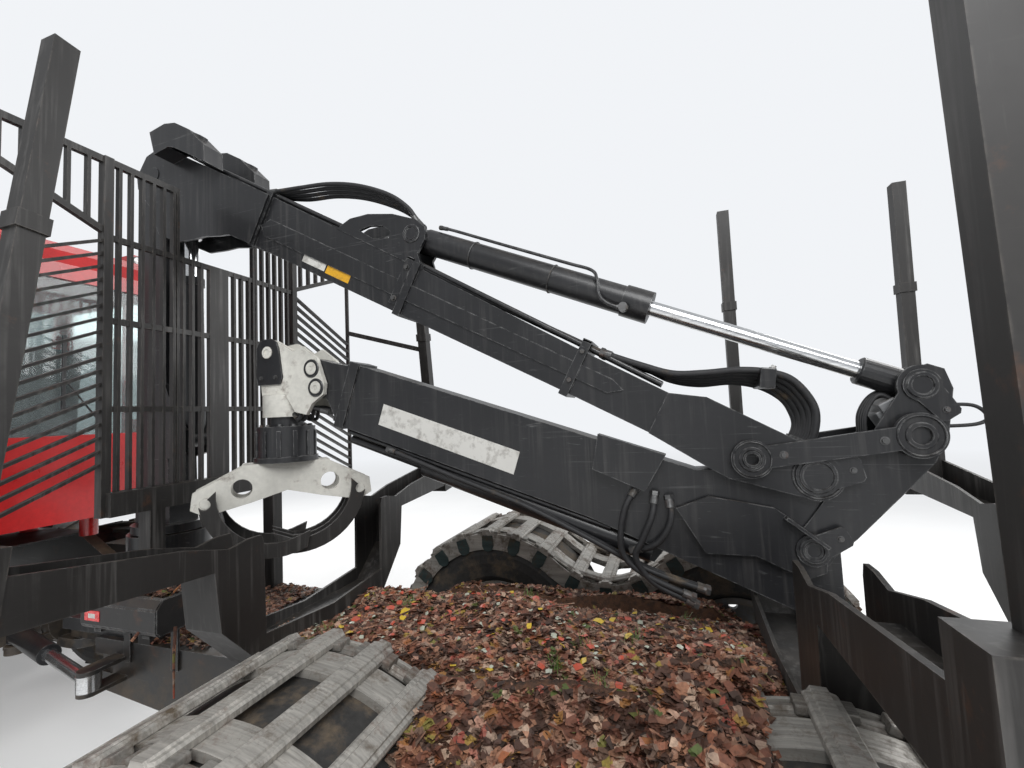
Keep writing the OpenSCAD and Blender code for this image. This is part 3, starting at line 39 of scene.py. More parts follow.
# Places shared with the CAD model, in metres; slopes in radians.
PILLAR_X, BOOM_Z, BOOM_L, BOOM_SLOPE = 0.2, 3.897, 4.179, radians(28.4)
BOOM_HALF, BOOM_TOP, BOOM_TAPER = 0.088, 0.19, 0.128
JIB_SLOPE, JIB_DROP, JIB_DEPTH, JIB_HALF = radians(18.9), 0.122, 0.352, 0.076
TRACK_HALF, WHEEL_STEP, FRONT_BOGIE_X, FRONT_AXLE_Z = 1.1, 0.75, 3.055, 0.66
ROTOR_X, CROSS_Z, ROTOR_Z = -0.76, 2.63, 2.1
CAB_BACK, CAB_FRONT, CAB_HALF, CAB_TOP = 1.33, 2.93, 0.8, 3.66
NOSE_X, HOOD_TOP, HOOD_HALF = 4.95, 2.33, 0.64
DECK_Z, RAIL_FACE = 1.083, 0.4505
TO_LEFT, TO_RIGHT = 1, -1


def boom_at(u, v, y=0.0):
    """A point given along the main boom (u, down to the rear) and above its axis (v)."""
    c, s = cos(BOOM_SLOPE), sin(BOOM_SLOPE)
    return Vector((PILLAR_X - c * u - s * v, y, BOOM_Z - s * u + c * v))


KNEE = boom_at(BOOM_L, -0.001)


def jib_at(u, v, y=0.0):
    """A point given along the jib from the knee (u, forward) and above it (v)."""
    c, s = cos(JIB_SLOPE), sin(JIB_SLOPE)
    return Vector((KNEE.x + c * u - s * v, y, KNEE.z + s * u + c * v))


def path_at(at, *points):
    """Points given in the frame of at, such as boom_at."""
    return [at(*p) for p in points]


def boom_top(u):
    """Height of the box's top above the boom's axis."""
    return BOOM_TOP - BOOM_TAPER * min(u, BOOM_L) / BOOM_L


CYL_FOOT, CYL_EYE = boom_at(2.01, 0.28), boom_at(BOOM_L + 0.167, 0.47)
LINK_A, LINK_B = boom_at(BOOM_L - 0.236, -0.048), boom_at(BOOM_L + 0.224, 0.29)
CRANK_PIN = jib_at(-0.06, -0.284)
TIP_PINS = jib_at(2.505, -0.216), jib_at(2.442, -0.311)


# materials
class Tree:
    """A small wrapper that wires shader nodes."""

    def __init__(self, tree):
        self.tree = tree

    def add(self, kind, values=None, **sets):
        """A node with its properties and the values or links of its inputs."""
        node = self.tree.nodes.new(kind)
        for key, value in sets.items():
            setattr(node, key, value)
        for key, value in (values or {}).items():
            self.put(node.inputs[key], value)
        return node

    def put(self, socket, value):
        if hasattr(value, "is_output"):
            self.tree.links.new(value, socket)
        else:
            socket.default_value = value

    def ramp(self, value, lo, hi, a=0.0, b=1.0):
        values = {"From Min": lo, "From Max": hi, "To Min": a, "To Max": b, "Value": value}
        return self.add("ShaderNodeMapRange", values).outputs["Result"]

    def maths(self, kind, a, b):
        clamp = kind in ("ADD", "MULTIPLY")
        return self.add("ShaderNodeMath", {0: a, 1: b}, operation=kind, use_clamp=clamp).outputs[0]

    def plus(self, a, b):
        return self.maths("ADD", a, b)

    def times(self, a, b):
        return self.maths("MULTIPLY", a, b)


class Nodes(Tree):
    """The nodes of one material, with textures in the object's own frame."""

    def __init__(self, name):
        self.mat = bpy.data.materials.new(name)
        self.mat.use_nodes = True
        super().__init__(self.mat.node_tree)
        self.bsdf = self.tree.nodes["Principled BSDF"]
        self.coord = self.add("ShaderNodeTexCoord").outputs["Object"]

    def scaled(self, scale, turn=(0, 0, 0)):
        values = {"Scale": scale, "Rotation": turn, "Vector": self.coord}
        return self.add("ShaderNodeMapping", values).outputs["Vector"]

    def noise(self, scale, detail, rough=0.55, vector=None, distort=0.0):
        values = {"Scale": scale, "Detail": detail, "Roughness": rough, "Distortion": distort,
                  "Vector": vector or self.coord}
        return self.add("ShaderNodeTexNoise", values).outputs["Fac"]

    def cells(self, scale):
        return self.add("ShaderNodeTexVoronoi", {"Scale": scale, "Vector": self.coord}, feature="F1")

    def mix(self, fac, a, b):
        a, b = (v if hasattr(v, "is_output") else (*v, 1) for v in (a, b))
        return self.add("ShaderNodeMix", {0: fac, 6: a, 7: b}, data_type="RGBA").outputs[2]

    def normal(self):
        return self.add("ShaderNodeNewGeometry").outputs["Normal"]

    def edges(self):
        """Where the surface turns sharply, from a bevelled normal."""
        bevel = self.add("ShaderNodeBevel", {"Radius": 0.006}, samples=4)
        values = {0: bevel.outputs["Normal"], 1: self.normal()}
        dot = self.add("ShaderNodeVectorMath", values, operation="DOT_PRODUCT")
        return self.ramp(self.maths("SUBTRACT", 1.0, dot.outputs["Value"]), 0.004, 0.05)

    def height_of(self, vector, lo, hi):
        """How far the Z part of a place or a normal lies from lo to hi."""
        return self.ramp(self.add("ShaderNodeSeparateXYZ", {0: vector}).outputs["Z"], lo, hi)

    def bump(self, height, strength, distance):
        values = {"Strength": strength, "Distance": distance, "Height": height}
        self.put(self.bsdf.inputs["Normal"], self.add("ShaderNodeBump", values).outputs["Normal"])

    def glow(self, color, strength):
        return self.add("ShaderNodeEmission", {"Color": (*color, 1), "Strength": strength}).outputs[0]

    def blend(self, fac, a, b):
        return self.add("ShaderNodeMixShader", {0: fac, 1: a, 2: b}).outputs[0]

    def done(self, color, rough, metal=0.0, coat=0.0):
        values = {"Base Color": color, "Roughness": rough, "Metallic": metal, "Coat Weight": coat,
                  "Coat Roughness": 0.12}
        for key, value in values.items():
            self.put(self.bsdf.inputs[key], value)
        return self.mat


MUD = (0.115, 0.085, 0.055)
RUST = (0.12, 0.05, 0.024)
STEEL = (0.34, 0.34, 0.335)


def coat(name, color, rough=0.4, worn=STEEL, wear=0.6, scratch=0.35, dust=0.35, gloss=0.0, mud_below=None, rust=0.0,
         dry=0.0):
    """Paint on metal: uneven tone, scratches, worn edges, dust on what faces up, mud low down, dry streaks."""
    n = Nodes(name)
    broad = n.noise(1.7, 6)
    fine = n.noise(38, 5)
    tone = n.mix(n.ramp(broad, 0.3, 0.7), [c * 0.72 for c in color], [min(c * 1.3, 1) for c in color])
    tone = n.mix(n.ramp(fine, 0.35, 0.75, 0, 0.35), tone, [c * 0.6 for c in color])
    lines = n.ramp(n.noise(1, 3, 0.5, n.scaled((2.2, 30, 120), (0, 0.35, 0)), 0.8), 0.64, 0.72)
    short = n.ramp(n.noise(1, 3, 0.5, n.scaled((9, 30, 60), (0.2, -0.9, 0.3)), 1.2), 0.66, 0.74)
    where = n.ramp(n.noise(4.5, 6, 0.65), 0.45, 0.68, 0, scratch * 0.6)
    marks = n.times(n.plus(lines, short), where)
    tone = n.mix(marks, tone, [min(c * 0.5 + 0.03, 1) for c in worn])
    if dry:
        runs = n.ramp(n.noise(1, 5, 0.6, n.scaled((34, 34, 1.3)), 0.6), 0.5, 0.68, 0, dry)
        tone = n.mix(n.times(runs, n.ramp(n.noise(3, 5, 0.6), 0.35, 0.6)), tone, (0.11, 0.105, 0.1))
    if rust:
        spots = n.plus(n.times(n.noise(9, 8, 0.7), 0.7), n.times(broad, 0.3))
        patch = n.ramp(spots, 0.62 - rust * 0.25, 0.75 - rust * 0.15)
        tone = n.mix(patch, tone, n.mix(fine, RUST, [c * 0.45 for c in RUST]))
    chipped = n.times(n.edges(), n.ramp(n.noise(22, 6, 0.65), 0.5 - wear * 0.12, 0.62, 0, wear))
    tone = n.mix(chipped, tone, worn)
    settle = n.times(n.height_of(n.normal(), 0.35, 0.95), n.ramp(n.noise(5, 8, 0.65), 0.38, 0.68, 0, dust))
    if mud_below is not None:
        spray = n.ramp(n.noise(7, 8, 0.7), 0.4, 0.62, 0, 0.8)
        low = n.height_of(n.coord, mud_below, mud_below - 0.5)
        settle = n.maths("MAXIMUM", settle, n.times(low, spray))
    tone = n.mix(settle, tone, n.mix(n.noise(60, 4), MUD, [c * 1.9 for c in MUD]))
    roughness = n.plus(n.ramp(broad, 0.3, 0.7, rough * 0.8, rough * 1.15), n.times(settle, 0.45))
    n.bump(n.plus(n.times(fine, 0.4), n.times(n.plus(settle, chipped), 0.5)), 0.22, 0.0015)
    return n.done(tone, roughness, 0.0, gloss)


def bare(name, color, rough, metal, rust, dirt):
    """Bare or worn steel with pitted rust and dirt."""
    n = Nodes(name)
    broad = n.noise(4, 8, 0.65)
    fine = n.noise(55, 6, 0.6)
    streak = n.noise(1, 4, 0.6, n.scaled((4, 90, 30), (0, 0.2, 0.1)))
    tone = n.mix(n.ramp(streak, 0.3, 0.7), [c * 0.62 for c in color], [min(1, c * 1.25) for c in color])
    spots = n.ramp(n.plus(n.times(broad, 0.7), n.times(fine, 0.3)), 0.6 - rust * 0.25, 0.7 - rust * 0.1)
    tone = n.mix(spots, tone, n.mix(fine, RUST, [c * 0.5 for c in RUST]))
    soil = n.ramp(n.noise(9, 8, 0.7), 0.62 - dirt * 0.3, 0.74 - dirt * 0.15)
    tone = n.mix(soil, tone, n.mix(fine, MUD, [c * 0.5 for c in MUD]))
    off = n.maths("MAXIMUM", spots, soil)
    n.bump(n.plus(fine, n.times(off, 0.6)), 0.35, 0.0025)
    dull = n.ramp(n.plus(off, n.times(fine, 0.3)), 0, 1, rough, 0.92)
    return n.done(tone, dull, n.ramp(off, 0, 1, metal, 0.0))


def rubber(name, color=(0.022, 0.021, 0.02), mud=0.55):
    n = Nodes(name)
    fine = n.noise(45, 6, 0.6)
    soil = n.ramp(n.noise(6, 8, 0.7), 0.64 - mud * 0.3, 0.75 - mud * 0.15, 0, 0.9)
    tone = n.mix(n.ramp(fine, 0.3, 0.7), color, [c * 1.8 for c in color])
    tone = n.mix(soil, tone, n.mix(n.noise(70, 4), MUD, [c * 1.6 for c in MUD]))
    n.bump(n.plus(fine, n.times(soil, 0.7)), 0.4, 0.004)
    return n.done(tone, n.ramp(soil, 0, 1, 0.62, 0.95))


def chrome_rod(name):
    """A chromed rod with fine lines and a thin film of dirt."""
    n = Nodes(name)
    lines = n.noise(1, 3, 0.5, n.scaled((2, 160, 160)))
    film = n.ramp(n.noise(8, 6, 0.7), 0.5, 0.75, 0, 0.35)
    tone = n.mix(n.ramp(lines, 0.3, 0.7), (0.55, 0.56, 0.57), (0.78, 0.79, 0.8))
    tone = n.mix(film, tone, (0.3, 0.27, 0.23))
    return n.done(tone, n.ramp(film, 0, 0.35, 0.16, 0.4), 0.95)


def glass(name):
    n = Nodes(name)
    film = n.ramp(n.noise(3, 6, 0.6), 0.4, 0.75, 0, 0.12)
    n.put(n.bsdf.inputs["Transmission Weight"], 0.85)
    n.put(n.bsdf.inputs["IOR"], 1.45)
    return n.done(n.mix(film, (0.55, 0.62, 0.62), (0.4, 0.38, 0.34)), n.ramp(film, 0, 0.12, 0.03, 0.15))


def cloth(name, color):
    n = Nodes(name)
    weave = n.times(n.noise(1, 2, 0.5, n.scaled((900, 60, 60))), n.noise(1, 2, 0.5, n.scaled((60, 900, 900))))
    tone = n.mix(n.ramp(weave, 0.1, 0.4), color, [c * 2.2 for c in color])
    n.bump(weave, 0.3, 0.001)
    return n.done(tone, 0.9)


def lens(name, color):
    n = Nodes(name)
    cells = n.cells(70).outputs["Distance"]
    n.bump(cells, 0.5, 0.003)
    tone = n.mix(n.ramp(cells, 0, 0.6), color, [min(1, c * 1.5 + 0.03) for c in color])
    return n.done(tone, 0.15, 0.0, 0.6)


def label(name, color, soiled=0.5):
    n = Nodes(name)
    dirt = n.ramp(n.noise(14, 8, 0.7), 0.62 - soiled * 0.25, 0.72, 0, 0.8)
    n.bump(n.noise(60, 4), 0.1, 0.0004)
    tone = n.mix(dirt, n.mix(n.noise(5, 4), [c * 0.82 for c in color], color), (0.1, 0.08, 0.06))
    return n.done(tone, n.ramp(dirt, 0, 0.8, 0.35, 0.8))


def chips_mat(name):
    """Bark, needles and leaves: each flake takes its own colour from its place."""
    n = Nodes(name)
    sep = n.add("ShaderNodeSeparateColor", {0: n.cells(38).outputs["Color"]})
    ramp = n.add("ShaderNodeValToRGB", {0: sep.outputs[0]})
    # place on the ramp, colour
    stops = [(0.0, (0.03, 0.017, 0.012)), (0.2, (0.085, 0.036, 0.022)), (0.36, (0.17, 0.06, 0.034)),
             (0.48, (0.26, 0.095, 0.05)), (0.58, (0.16, 0.1, 0.07)), (0.68, (0.44, 0.2, 0.11)),
             (0.78, (0.3, 0.21, 0.16)), (0.86, (0.55, 0.38, 0.27)), (0.92, (0.34, 0.06, 0.04)),
             (0.965, (0.38, 0.26, 0.05)), (0.99, (0.09, 0.13, 0.03))]
    els = ramp.color_ramp.elements
    els[0].position, els[1].position = stops[0][0], stops[-1][0]
    for pos, _ in stops[1:-1]:
        els.new(pos)
    for element, (_, color) in zip(els, stops):
        element.color = (*color, 1)
    fine = n.noise(120, 5)
    tone = n.mix(n.ramp(fine, 0.3, 0.75, 0, 0.6), ramp.outputs[0], (0.04, 0.022, 0.014))
    n.bump(fine, 0.5, 0.002)
    return n.done(tone, 0.72)


def soil_mat(name):
    n = Nodes(name)
    a = n.noise(26, 8, 0.7)
    tone = n.mix(n.ramp(a, 0.35, 0.65), (0.035, 0.022, 0.015), (0.15, 0.065, 0.032))
    n.bump(n.noise(60, 6, 0.7), 0.9, 0.01)
    return n.done(tone, 0.85)


BLACK = coat("black_paint_worn", (0.0135, 0.0138, 0.0155), 0.36, scratch=0.8, dust=0.22, gloss=0.12,
             dry=0.25)
BLACK_LOW = coat("black_paint_frame", (0.02, 0.019, 0.019), 0.42, wear=0.7, scratch=0.5, dust=0.65, mud_below=1.1,
                 rust=0.25)
RED = coat("red_paint", (0.5, 0.012, 0.012), 0.3, wear=0.3, scratch=0.12, dust=0.25, gloss=0.5, mud_below=1.45)
GREY = coat("grey_paint", (0.17, 0.175, 0.18), 0.42, wear=0.5, dust=0.4, mud_below=1.2)
PALE = coat("pale_grey_worn", (0.6, 0.59, 0.54), 0.45, worn=(0.3, 0.28, 0.25), wear=0.9, scratch=0.5, dust=0.45,
            rust=0.2)
RUSTY = coat("dark_gate_steel", (0.017, 0.0155, 0.0145), 0.5, worn=(0.13, 0.115, 0.1), scratch=0.3,
             dust=0.12, rust=0.08, dry=0.6)
IRON = coat("bunk_steel", (0.014, 0.0135, 0.0135), worn=(0.2, 0.19, 0.18), wear=0.8, scratch=0.5, dust=0.2,
            rust=0.05, dry=0.8)
TRACK = bare("track_steel", (0.43, 0.41, 0.375), 0.45, 0.55, 0.3, 0.36)
BRIGHT = bare("bright_steel", (0.5, 0.5, 0.49), 0.3, 0.9, 0.05, 0.1)
BOLT = bare("bolt_steel", (0.13, 0.13, 0.13), 0.4, 0.8, 0.2, 0.3)
CHROME = chrome_rod("chrome_rod")
TYRE = rubber("tyre_rubber")
HOSE = rubber("hose_rubber", (0.014, 0.014, 0.015), 0.15)
RIM = coat("rim_paint", (0.2, 0.205, 0.21), wear=0.5, dust=0.4, mud_below=1.5)
GLASS = glass("cab_glass_clear")
SEAT = cloth("seat_cloth", (0.025, 0.026, 0.03))
LAMP = lens("lamp_glass", (0.75, 0.76, 0.74))
REDLENS = lens("red_lens", (0.5, 0.01, 0.01))
WHITE_LABEL = label("white_label", (0.72, 0.71, 0.67))
YELLOW_LABEL = label("yellow_label", (0.8, 0.42, 0.02), 0.4)
CHIPS = chips_mat("bark_chips")
SOIL = soil_mat("litter_bed")
CHAIN = bare("track_chain_steel", (0.3, 0.285, 0.26), 0.45, 0.7, 0.4, 0.4)
TONGUE = bare("track_guide_steel", (0.05, 0.075, 0.075), 0.4, 0.5, 0.3, 0.35)
LEAF_YELLOW = label("yellow_leaf", (0.62, 0.42, 0.03), 0.2)
LEAF_RED = label("red_leaf", (0.5, 0.09, 0.05), 0.3)
LEAF_PALE = label("pale_lichen", (0.45, 0.47, 0.38), 0.3)
SPRIG = label("green_sprig", (0.13, 0.22, 0.05), 0.3)

SLOT_MATS = {"black_paint": BLACK, "red_paint": RED, "grey_paint": GREY, "worn_grey": PALE, "rusty": RUSTY,
             "chrome": CHROME, "tyre": TYRE, "rim": RIM, "track_steel": TRACK, "glass": GLASS, "seat": SEAT,
             "iron": IRON}
MUDDY_NODES = ("front_frame", "rear_frame", "front_axle", "rear_axle", "front_bogie_left", "front_bogie_right",
               "rear_bogie_left", "rear_bogie_right", "centre_joint")
for node_name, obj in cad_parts.items():
    for slot in obj.material_slots:
        key = slot.material.name.split(".")[0] if slot.material else ""
        slot.material = BLACK_LOW if node_name in MUDDY_NODES else SLOT_MATS.get(key, BLACK)


# making pieces
SLOT_OF = {mat: key for key, mat in SLOT_MATS.items()}
SLOT_OF[BLACK_LOW] = "black_paint"


def piece(name, bm, mat, body, smooth=False):
    mesh = bpy.data.meshes.new(name)
    bm.normal_update()
    bm.to_mesh(mesh)
    bm.free()
    if smooth:
        for p in mesh.polygons:
            p.use_smooth = True
    obj = bpy.data.objects.new(name, mesh)
    mesh.materials.append(mat)
    scene.collection.objects.link(obj)
    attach(obj, body)


def angles(n):
    return [2 * pi * k / n for k in range(n)]


def round_y(centre, r, a, y):
    """A point at an angle round a pin that runs across the machine."""
    return Vector((centre[0] + cos(a) * r, y, centre[2] + sin(a) * r))


def outward(bm):
    bmesh.ops.recalc_face_normals(bm, faces=bm.faces)


def join_loops(bm, a, b):
    """Faces between two closed loops of vertices."""
    n = len(a)
    for k in range(n):
        bm.faces.new((a[k], a[(k + 1) % n], b[(k + 1) % n], b[k]))


def join_ends(bm, lo, hi):
    """A closed solid between two outlines."""
    join_loops(bm, lo, hi)
    bm.faces.new(lo[::-1])
    bm.faces.new(hi)
    outward(bm)


def join_grid(bm, rows):
    """Faces over a grid of vertices."""
    for a, b in zip(rows, rows[1:]):
        for j in range(len(a) - 1):
            bm.faces.new((a[j], b[j], b[j + 1], a[j + 1]))


def smooth_path(points, steps=8):
    """Catmull-Rom points through the given ones."""
    p = [Vector(q) for q in points]
    p = [p[0] * 2 - p[1]] + p + [p[-1] * 2 - p[-2]]
    out = []
    for i in range(1, len(p) - 2):
        a, b, c, d = p[i - 1 : i + 3]
        for k in range(steps):
            t = k / steps
            bend = (2 * a - 5 * b + 4 * c - d) * t * t + (3 * b - a - 3 * c + d) * t ** 3
            out.append(0.5 * (2 * b + (c - a) * t + bend))
    out.append(p[-2])
    return out


def add_tube(bm, path, r, sides=10):
    """A round tube along a path, its rings turned with the path."""
    rings, up = [], Vector((0, 0, 1))
    for i, p in enumerate(path):
        d = (path[min(i + 1, len(path) - 1)] - path[max(i - 1, 0)]).normalized()
        side = d.cross(up)
        if side.length < 0.05:
            side = d.cross(Vector((0, 1, 0)))
        side.normalize()
        up = side.cross(d).normalized()
        rr = r(i / max(len(path) - 1, 1)) if callable(r) else r
        rings.append([bm.verts.new(p + (side * cos(a) + up * sin(a)) * rr) for a in angles(sides)])
    for a, b in zip(rings, rings[1:]):
        join_loops(bm, a, b)
    bm.faces.new(rings[0][::-1])
    bm.faces.new(rings[-1])


def add_box(bm, lo, hi, bevel, turn=None):
    """A box between two corners, its edges bevelled, optionally moved by a matrix."""
    lo, hi = Vector(lo), Vector(hi)
    place = Matrix.Translation((lo + hi) / 2) @ Matrix.Diagonal((*(hi - lo), 1))
    verts = bmesh.ops.create_cube(bm, size=1.0, matrix=place)["verts"]
    edges = list({e for v in verts for e in v.link_edges})
    res = bmesh.ops.bevel(bm, geom=edges, offset=bevel, segments=2, profile=0.6, affect="EDGES")
    if turn is not None:
        verts = {v for f in res["faces"] for v in f.verts} | {v for v in verts if v.is_valid}
        bmesh.ops.transform(bm, matrix=turn, verts=list(verts))


def add_disc(bm, centre, axis, r, h, sides, r2=None):
    """A round stub along an axis, from its centre outwards."""
    axis = Vector(axis).normalized()
    place = Matrix.Translation(Vector(centre) + axis * h / 2) @ axis.to_track_quat("Z", "Y").to_matrix().to_4x4()
    bmesh.ops.create_cone(bm, cap_ends=True, segments=sides, radius1=r, radius2=r if r2 is None else r2, depth=h,
                          matrix=place)


def add_bolt(bm, at, axis, r, h):
    """A six-sided head on a washer."""
    add_disc(bm, at, axis, r * 1.35, h * 0.25, 16)
    add_disc(bm, Vector(at) + Vector(axis).normalized() * h * 0.2, axis, r, h, 6, r * 0.94)


def add_prism(bm, outline, y0, y1):
    """An outline in the side view, its points ending in x and z, given a thickness in y."""
    lo, hi = ([bm.verts.new((p[0], y, p[-1])) for p in outline] for y in (y0, y1))
    join_ends(bm, lo, hi)


def hoses(name, paths, r, body, mat=HOSE, steps=8, ends=True):
    """Hoses on one body, with crimped ends."""
    paths = [smooth_path(path, steps) for path in paths]
    bm = bmesh.new()
    for path in paths:
        add_tube(bm, path, r)
    piece(name, bm, mat, body, True)
    if not ends:
        return
    bm = bmesh.new()
    for path in paths:
        for tip, inner in (path[:2], path[:-3:-1]):
            d = (inner - tip).normalized()
            add_disc(bm, tip - d * 0.004, d, r * 1.35, 0.045, 14)
            add_disc(bm, tip - d * 0.012, d, r * 1.6, 0.018, 6)
    piece(name + "_ends", bm, BOLT, body)


# camera, light, stage
FOCAL_PX, PHOTO_PX = 470, 1024
CAMERA_AT = (-2.945, 2.25, 2.2)
YAW, PITCH, ROLL = (radians(a) for a in (18.4, 3.8, -2.6))
SKY, SKY_SEEN, SKY_LIGHT = (0.9, 0.92, 0.95), 0.98, 0.62


def aimed(at, ahead):
    """Where a camera or a lamp stands and looks."""
    return Matrix.Translation(at) @ ahead.to_track_quat("-Z", "Y").to_matrix().to_4x4()


def make_camera():
    cam = bpy.data.cameras.new("photo_camera")
    obj = bpy.data.objects.new("photo_camera", cam)
    scene.collection.objects.link(obj)
    cam.sensor_width, cam.lens = 36, 36 * FOCAL_PX / PHOTO_PX
    cam.clip_start, cam.clip_end = 0.05, 200
    ahead = Vector((sin(YAW) * cos(PITCH), -cos(YAW) * cos(PITCH), sin(PITCH)))
    obj.matrix_world = aimed(CAMERA_AT, ahead) @ Matrix.Rotation(ROLL, 4, "Z")
    scene.camera = obj


def add_light(name, at, target, size, power):
    data = bpy.data.lights.new(name, "AREA")
    data.shape, data.size, data.energy = "SQUARE", size, power
    obj = bpy.data.objects.new(name, data)
    obj.matrix_world = aimed(at, Vector(target) - Vector(at))
    scene.collection.objects.link(obj)


def make_stage():
    """A pale floor that fades into an even sky, and three soft lamps."""
    bpy.ops.mesh.primitive_plane_add(size=160, location=(0, 0, 0))
    floor = bpy.context.object
    floor.name = "floor"
    n = Nodes("pale_floor")
    rays = n.add("ShaderNodeLightPath").outputs
    mirrored = n.maths("MAXIMUM", rays["Is Glossy Ray"], rays["Is Transmission Ray"])
    direct = n.maths("MAXIMUM", rays["Is Camera Ray"], mirrored)
    n.done(n.mix(n.ramp(n.noise(0.6, 3), 0.3, 0.7), (0.66, 0.66, 0.65), (0.7, 0.7, 0.69)), 0.9)
    plain = n.bsdf.outputs[0]
    lit = n.add("ShaderNodeAddShader", {0: plain, 1: n.glow((1, 1, 1), 0.28)}).outputs[0]
    away = n.add("ShaderNodeVectorMath", {0: n.coord}, operation="LENGTH").outputs["Value"]
    fade = n.times(direct, n.ramp(away, 6, 26))
    seen = n.blend(fade, n.blend(direct, plain, lit), n.glow(SKY, SKY_SEEN))
    n.put(n.tree.nodes["Material Output"].inputs["Surface"], seen)
    floor.data.materials.append(n.mat)
    world = bpy.data.worlds.new("studio")
    scene.world = world
    world.use_nodes = True
    t = Tree(world.node_tree)
    rays = t.add("ShaderNodeLightPath").outputs
    seen = t.maths("MAXIMUM", rays["Is Camera Ray"], rays["Is Transmission Ray"])
    back = t.tree.nodes["Background"].inputs
    t.put(back["Color"], (*SKY, 1))
    t.put(back["Strength"], t.ramp(seen, 0, 1, SKY_LIGHT, SKY_SEEN))
    add_light("key", (-5.5, 7.5, 9), (-1, 0, 1.8), 6, 900)
    add_light("fill", (7, -6, 7), (0, 0, 1.5), 6, 450)
    add_light("rear", (-9, -5, 6), (-2, 0, 1.5), 5, 350)
    scene.view_settings.view_transform = "Standard"


make_camera()
make_stage()


# crane: hoses, pipes, labels and pins
def boom_hoses():
    """Hoses along the top of the box from the lamp hood to the knee, held down by the straps."""
    runs = []
    for k, y in enumerate((-0.058, -0.032, -0.006, 0.02, 0.046)):
        path = [boom_at(0.44, 0.205, y)]
        for u in (0.8, 1.2, 1.6, 2.05, 2.5, 2.95, 3.2):
            v = boom_top(u) + 0.014 + 0.006 * sin(u * 4 + k * 1.7)
            path.append(boom_at(u, v, y + 0.004 * sin(u * 5 + k)))
        runs.append(path)
    hoses("boom_top_hoses", runs, 0.0125, "boom", ends=False)


def knee_loop():
    """The same hoses rise in a bundle, loop over at a clamp and drop between the knee plates."""
    for k, y in enumerate((-0.05, -0.025, 0.0, 0.025, 0.05)):
        o = 0.012 * (k - 2)
        path = path_at(boom_at, (3.2, 0.107, y), (3.38, 0.118 + abs(o) * 0.3, y), (3.52, 0.135 + o * 0.5, y),
                       (3.64, 0.18 + o, y), (3.755, 0.245 + o, y), (3.865, 0.28 + o * 1.2, y),
                       (3.965, 0.277 + o * 1.5, y * 0.9), (4.05 + o, 0.225 + o, y * 0.8),
                       (4.09 + o * 1.2, 0.15, y * 0.7), (4.09 + o, 0.07, y * 0.6))
        hoses(f"knee_loop_hose_{k}", [path], 0.0155, "boom")
    bm = bmesh.new()
    turn = Matrix.Translation(boom_at(3.868, 0.28)) @ Matrix.Rotation(-BOOM_SLOPE + 0.35, 4, "Y")
    add_box(bm, (-0.03, -0.085, -0.04), (0.03, 0.085, 0.045), 0.006, turn)
    piece("knee_loop_clamp", bm, BLACK, "boom")
    bm = bmesh.new()
    upward = (-sin(BOOM_SLOPE), 0, cos(BOOM_SLOPE))
    for y in (-0.07, 0.07):
        add_bolt(bm, boom_at(3.868, 0.325, y), upward, 0.011, 0.012)
    piece("knee_loop_clamp_bolts", bm, BRIGHT, "boom")


def boom_straps():
    """Straps round the box that hold the hoses, each of three plates with bolts."""
    bm, bolts, thick = bmesh.new(), bmesh.new(), 0.012
    for u in (2.07, 3.12):
        top, a, b = boom_top(u), u - 0.022, u + 0.022
        for q in (TO_RIGHT, TO_LEFT):
            y = q * BOOM_HALF
            side = path_at(boom_at, (a, top + 0.035), (b, top + 0.035), (b, -0.1), (a, -0.1))
            add_prism(bm, side, *sorted((y, y + q * thick)))
            for v in (top - 0.02, -0.07):
                add_bolt(bolts, boom_at(u, v, y + q * thick), (0, q, 0), 0.012, 0.012)
        over = path_at(boom_at, (a, top + 0.028), (b, top + 0.028), (b, top + 0.04), (a, top + 0.04))
        add_prism(bm, over, -BOOM_HALF - thick, BOOM_HALF + thick)
    piece("boom_straps", bm, BLACK, "boom")
    piece("boom_strap_bolts", bolts, BOLT, "boom")


def bracket_loop():
    """Hoses that leave the boom before the cylinder bracket and loop over to the cylinder's foot."""
    paths = []
    for k, y in enumerate((-0.03, 0.0, 0.03, 0.06)):
        o = 0.012 * k
        paths.append(path_at(boom_at, (0.95, 0.2, y), (1.15, 0.255 + o, y), (1.34, 0.335 + o, y),
                             (1.54, 0.385 + o, y), (1.75, 0.4 + o, y * 0.9), (1.9, 0.385 + o * 0.6, y * 0.8),
                             (1.985, 0.35, y * 0.7)))
    hoses("bracket_loop_hoses", paths, 0.012, "boom")


def knee_cylinder_pipe():
    """A steel pipe along the barrel to the port at its gland, with its clamps."""
    d = (CYL_EYE - CYL_FOOT).normalized()
    up = Vector((d.z, 0, -d.x))

    def at(t, h, y):
        return CYL_FOOT + d * t + up * h + Vector((0, y, 0))

    path = path_at(at, (0.12, 0.088, 0.02), (0.2, 0.09, 0.03), (0.5, 0.088, 0.035), (0.85, 0.088, 0.035),
                   (0.98, 0.085, 0.045), (1.03, 0.045, 0.082), (1.06, -0.015, 0.092), (1.1, -0.045, 0.088),
                   (1.16, -0.052, 0.086), (1.2, -0.045, 0.08))
    hoses("knee_cylinder_pipe", [path], 0.008, "knee_cyl", BLACK)
    bm = bmesh.new()
    add_disc(bm, at(1.19, -0.045, 0.062), (0, 1, 0), 0.021, 0.04, 16)
    for t in (0.35, 0.8):
        turns = [x * pi / 8 for x in range(-8, 9)]
        add_tube(bm, smooth_path([at(t, 0.07 * cos(a), 0.071 * sin(a)) for a in turns], 2), 0.0035, 6)
    piece("knee_cylinder_port", bm, BOLT, "knee_cyl")


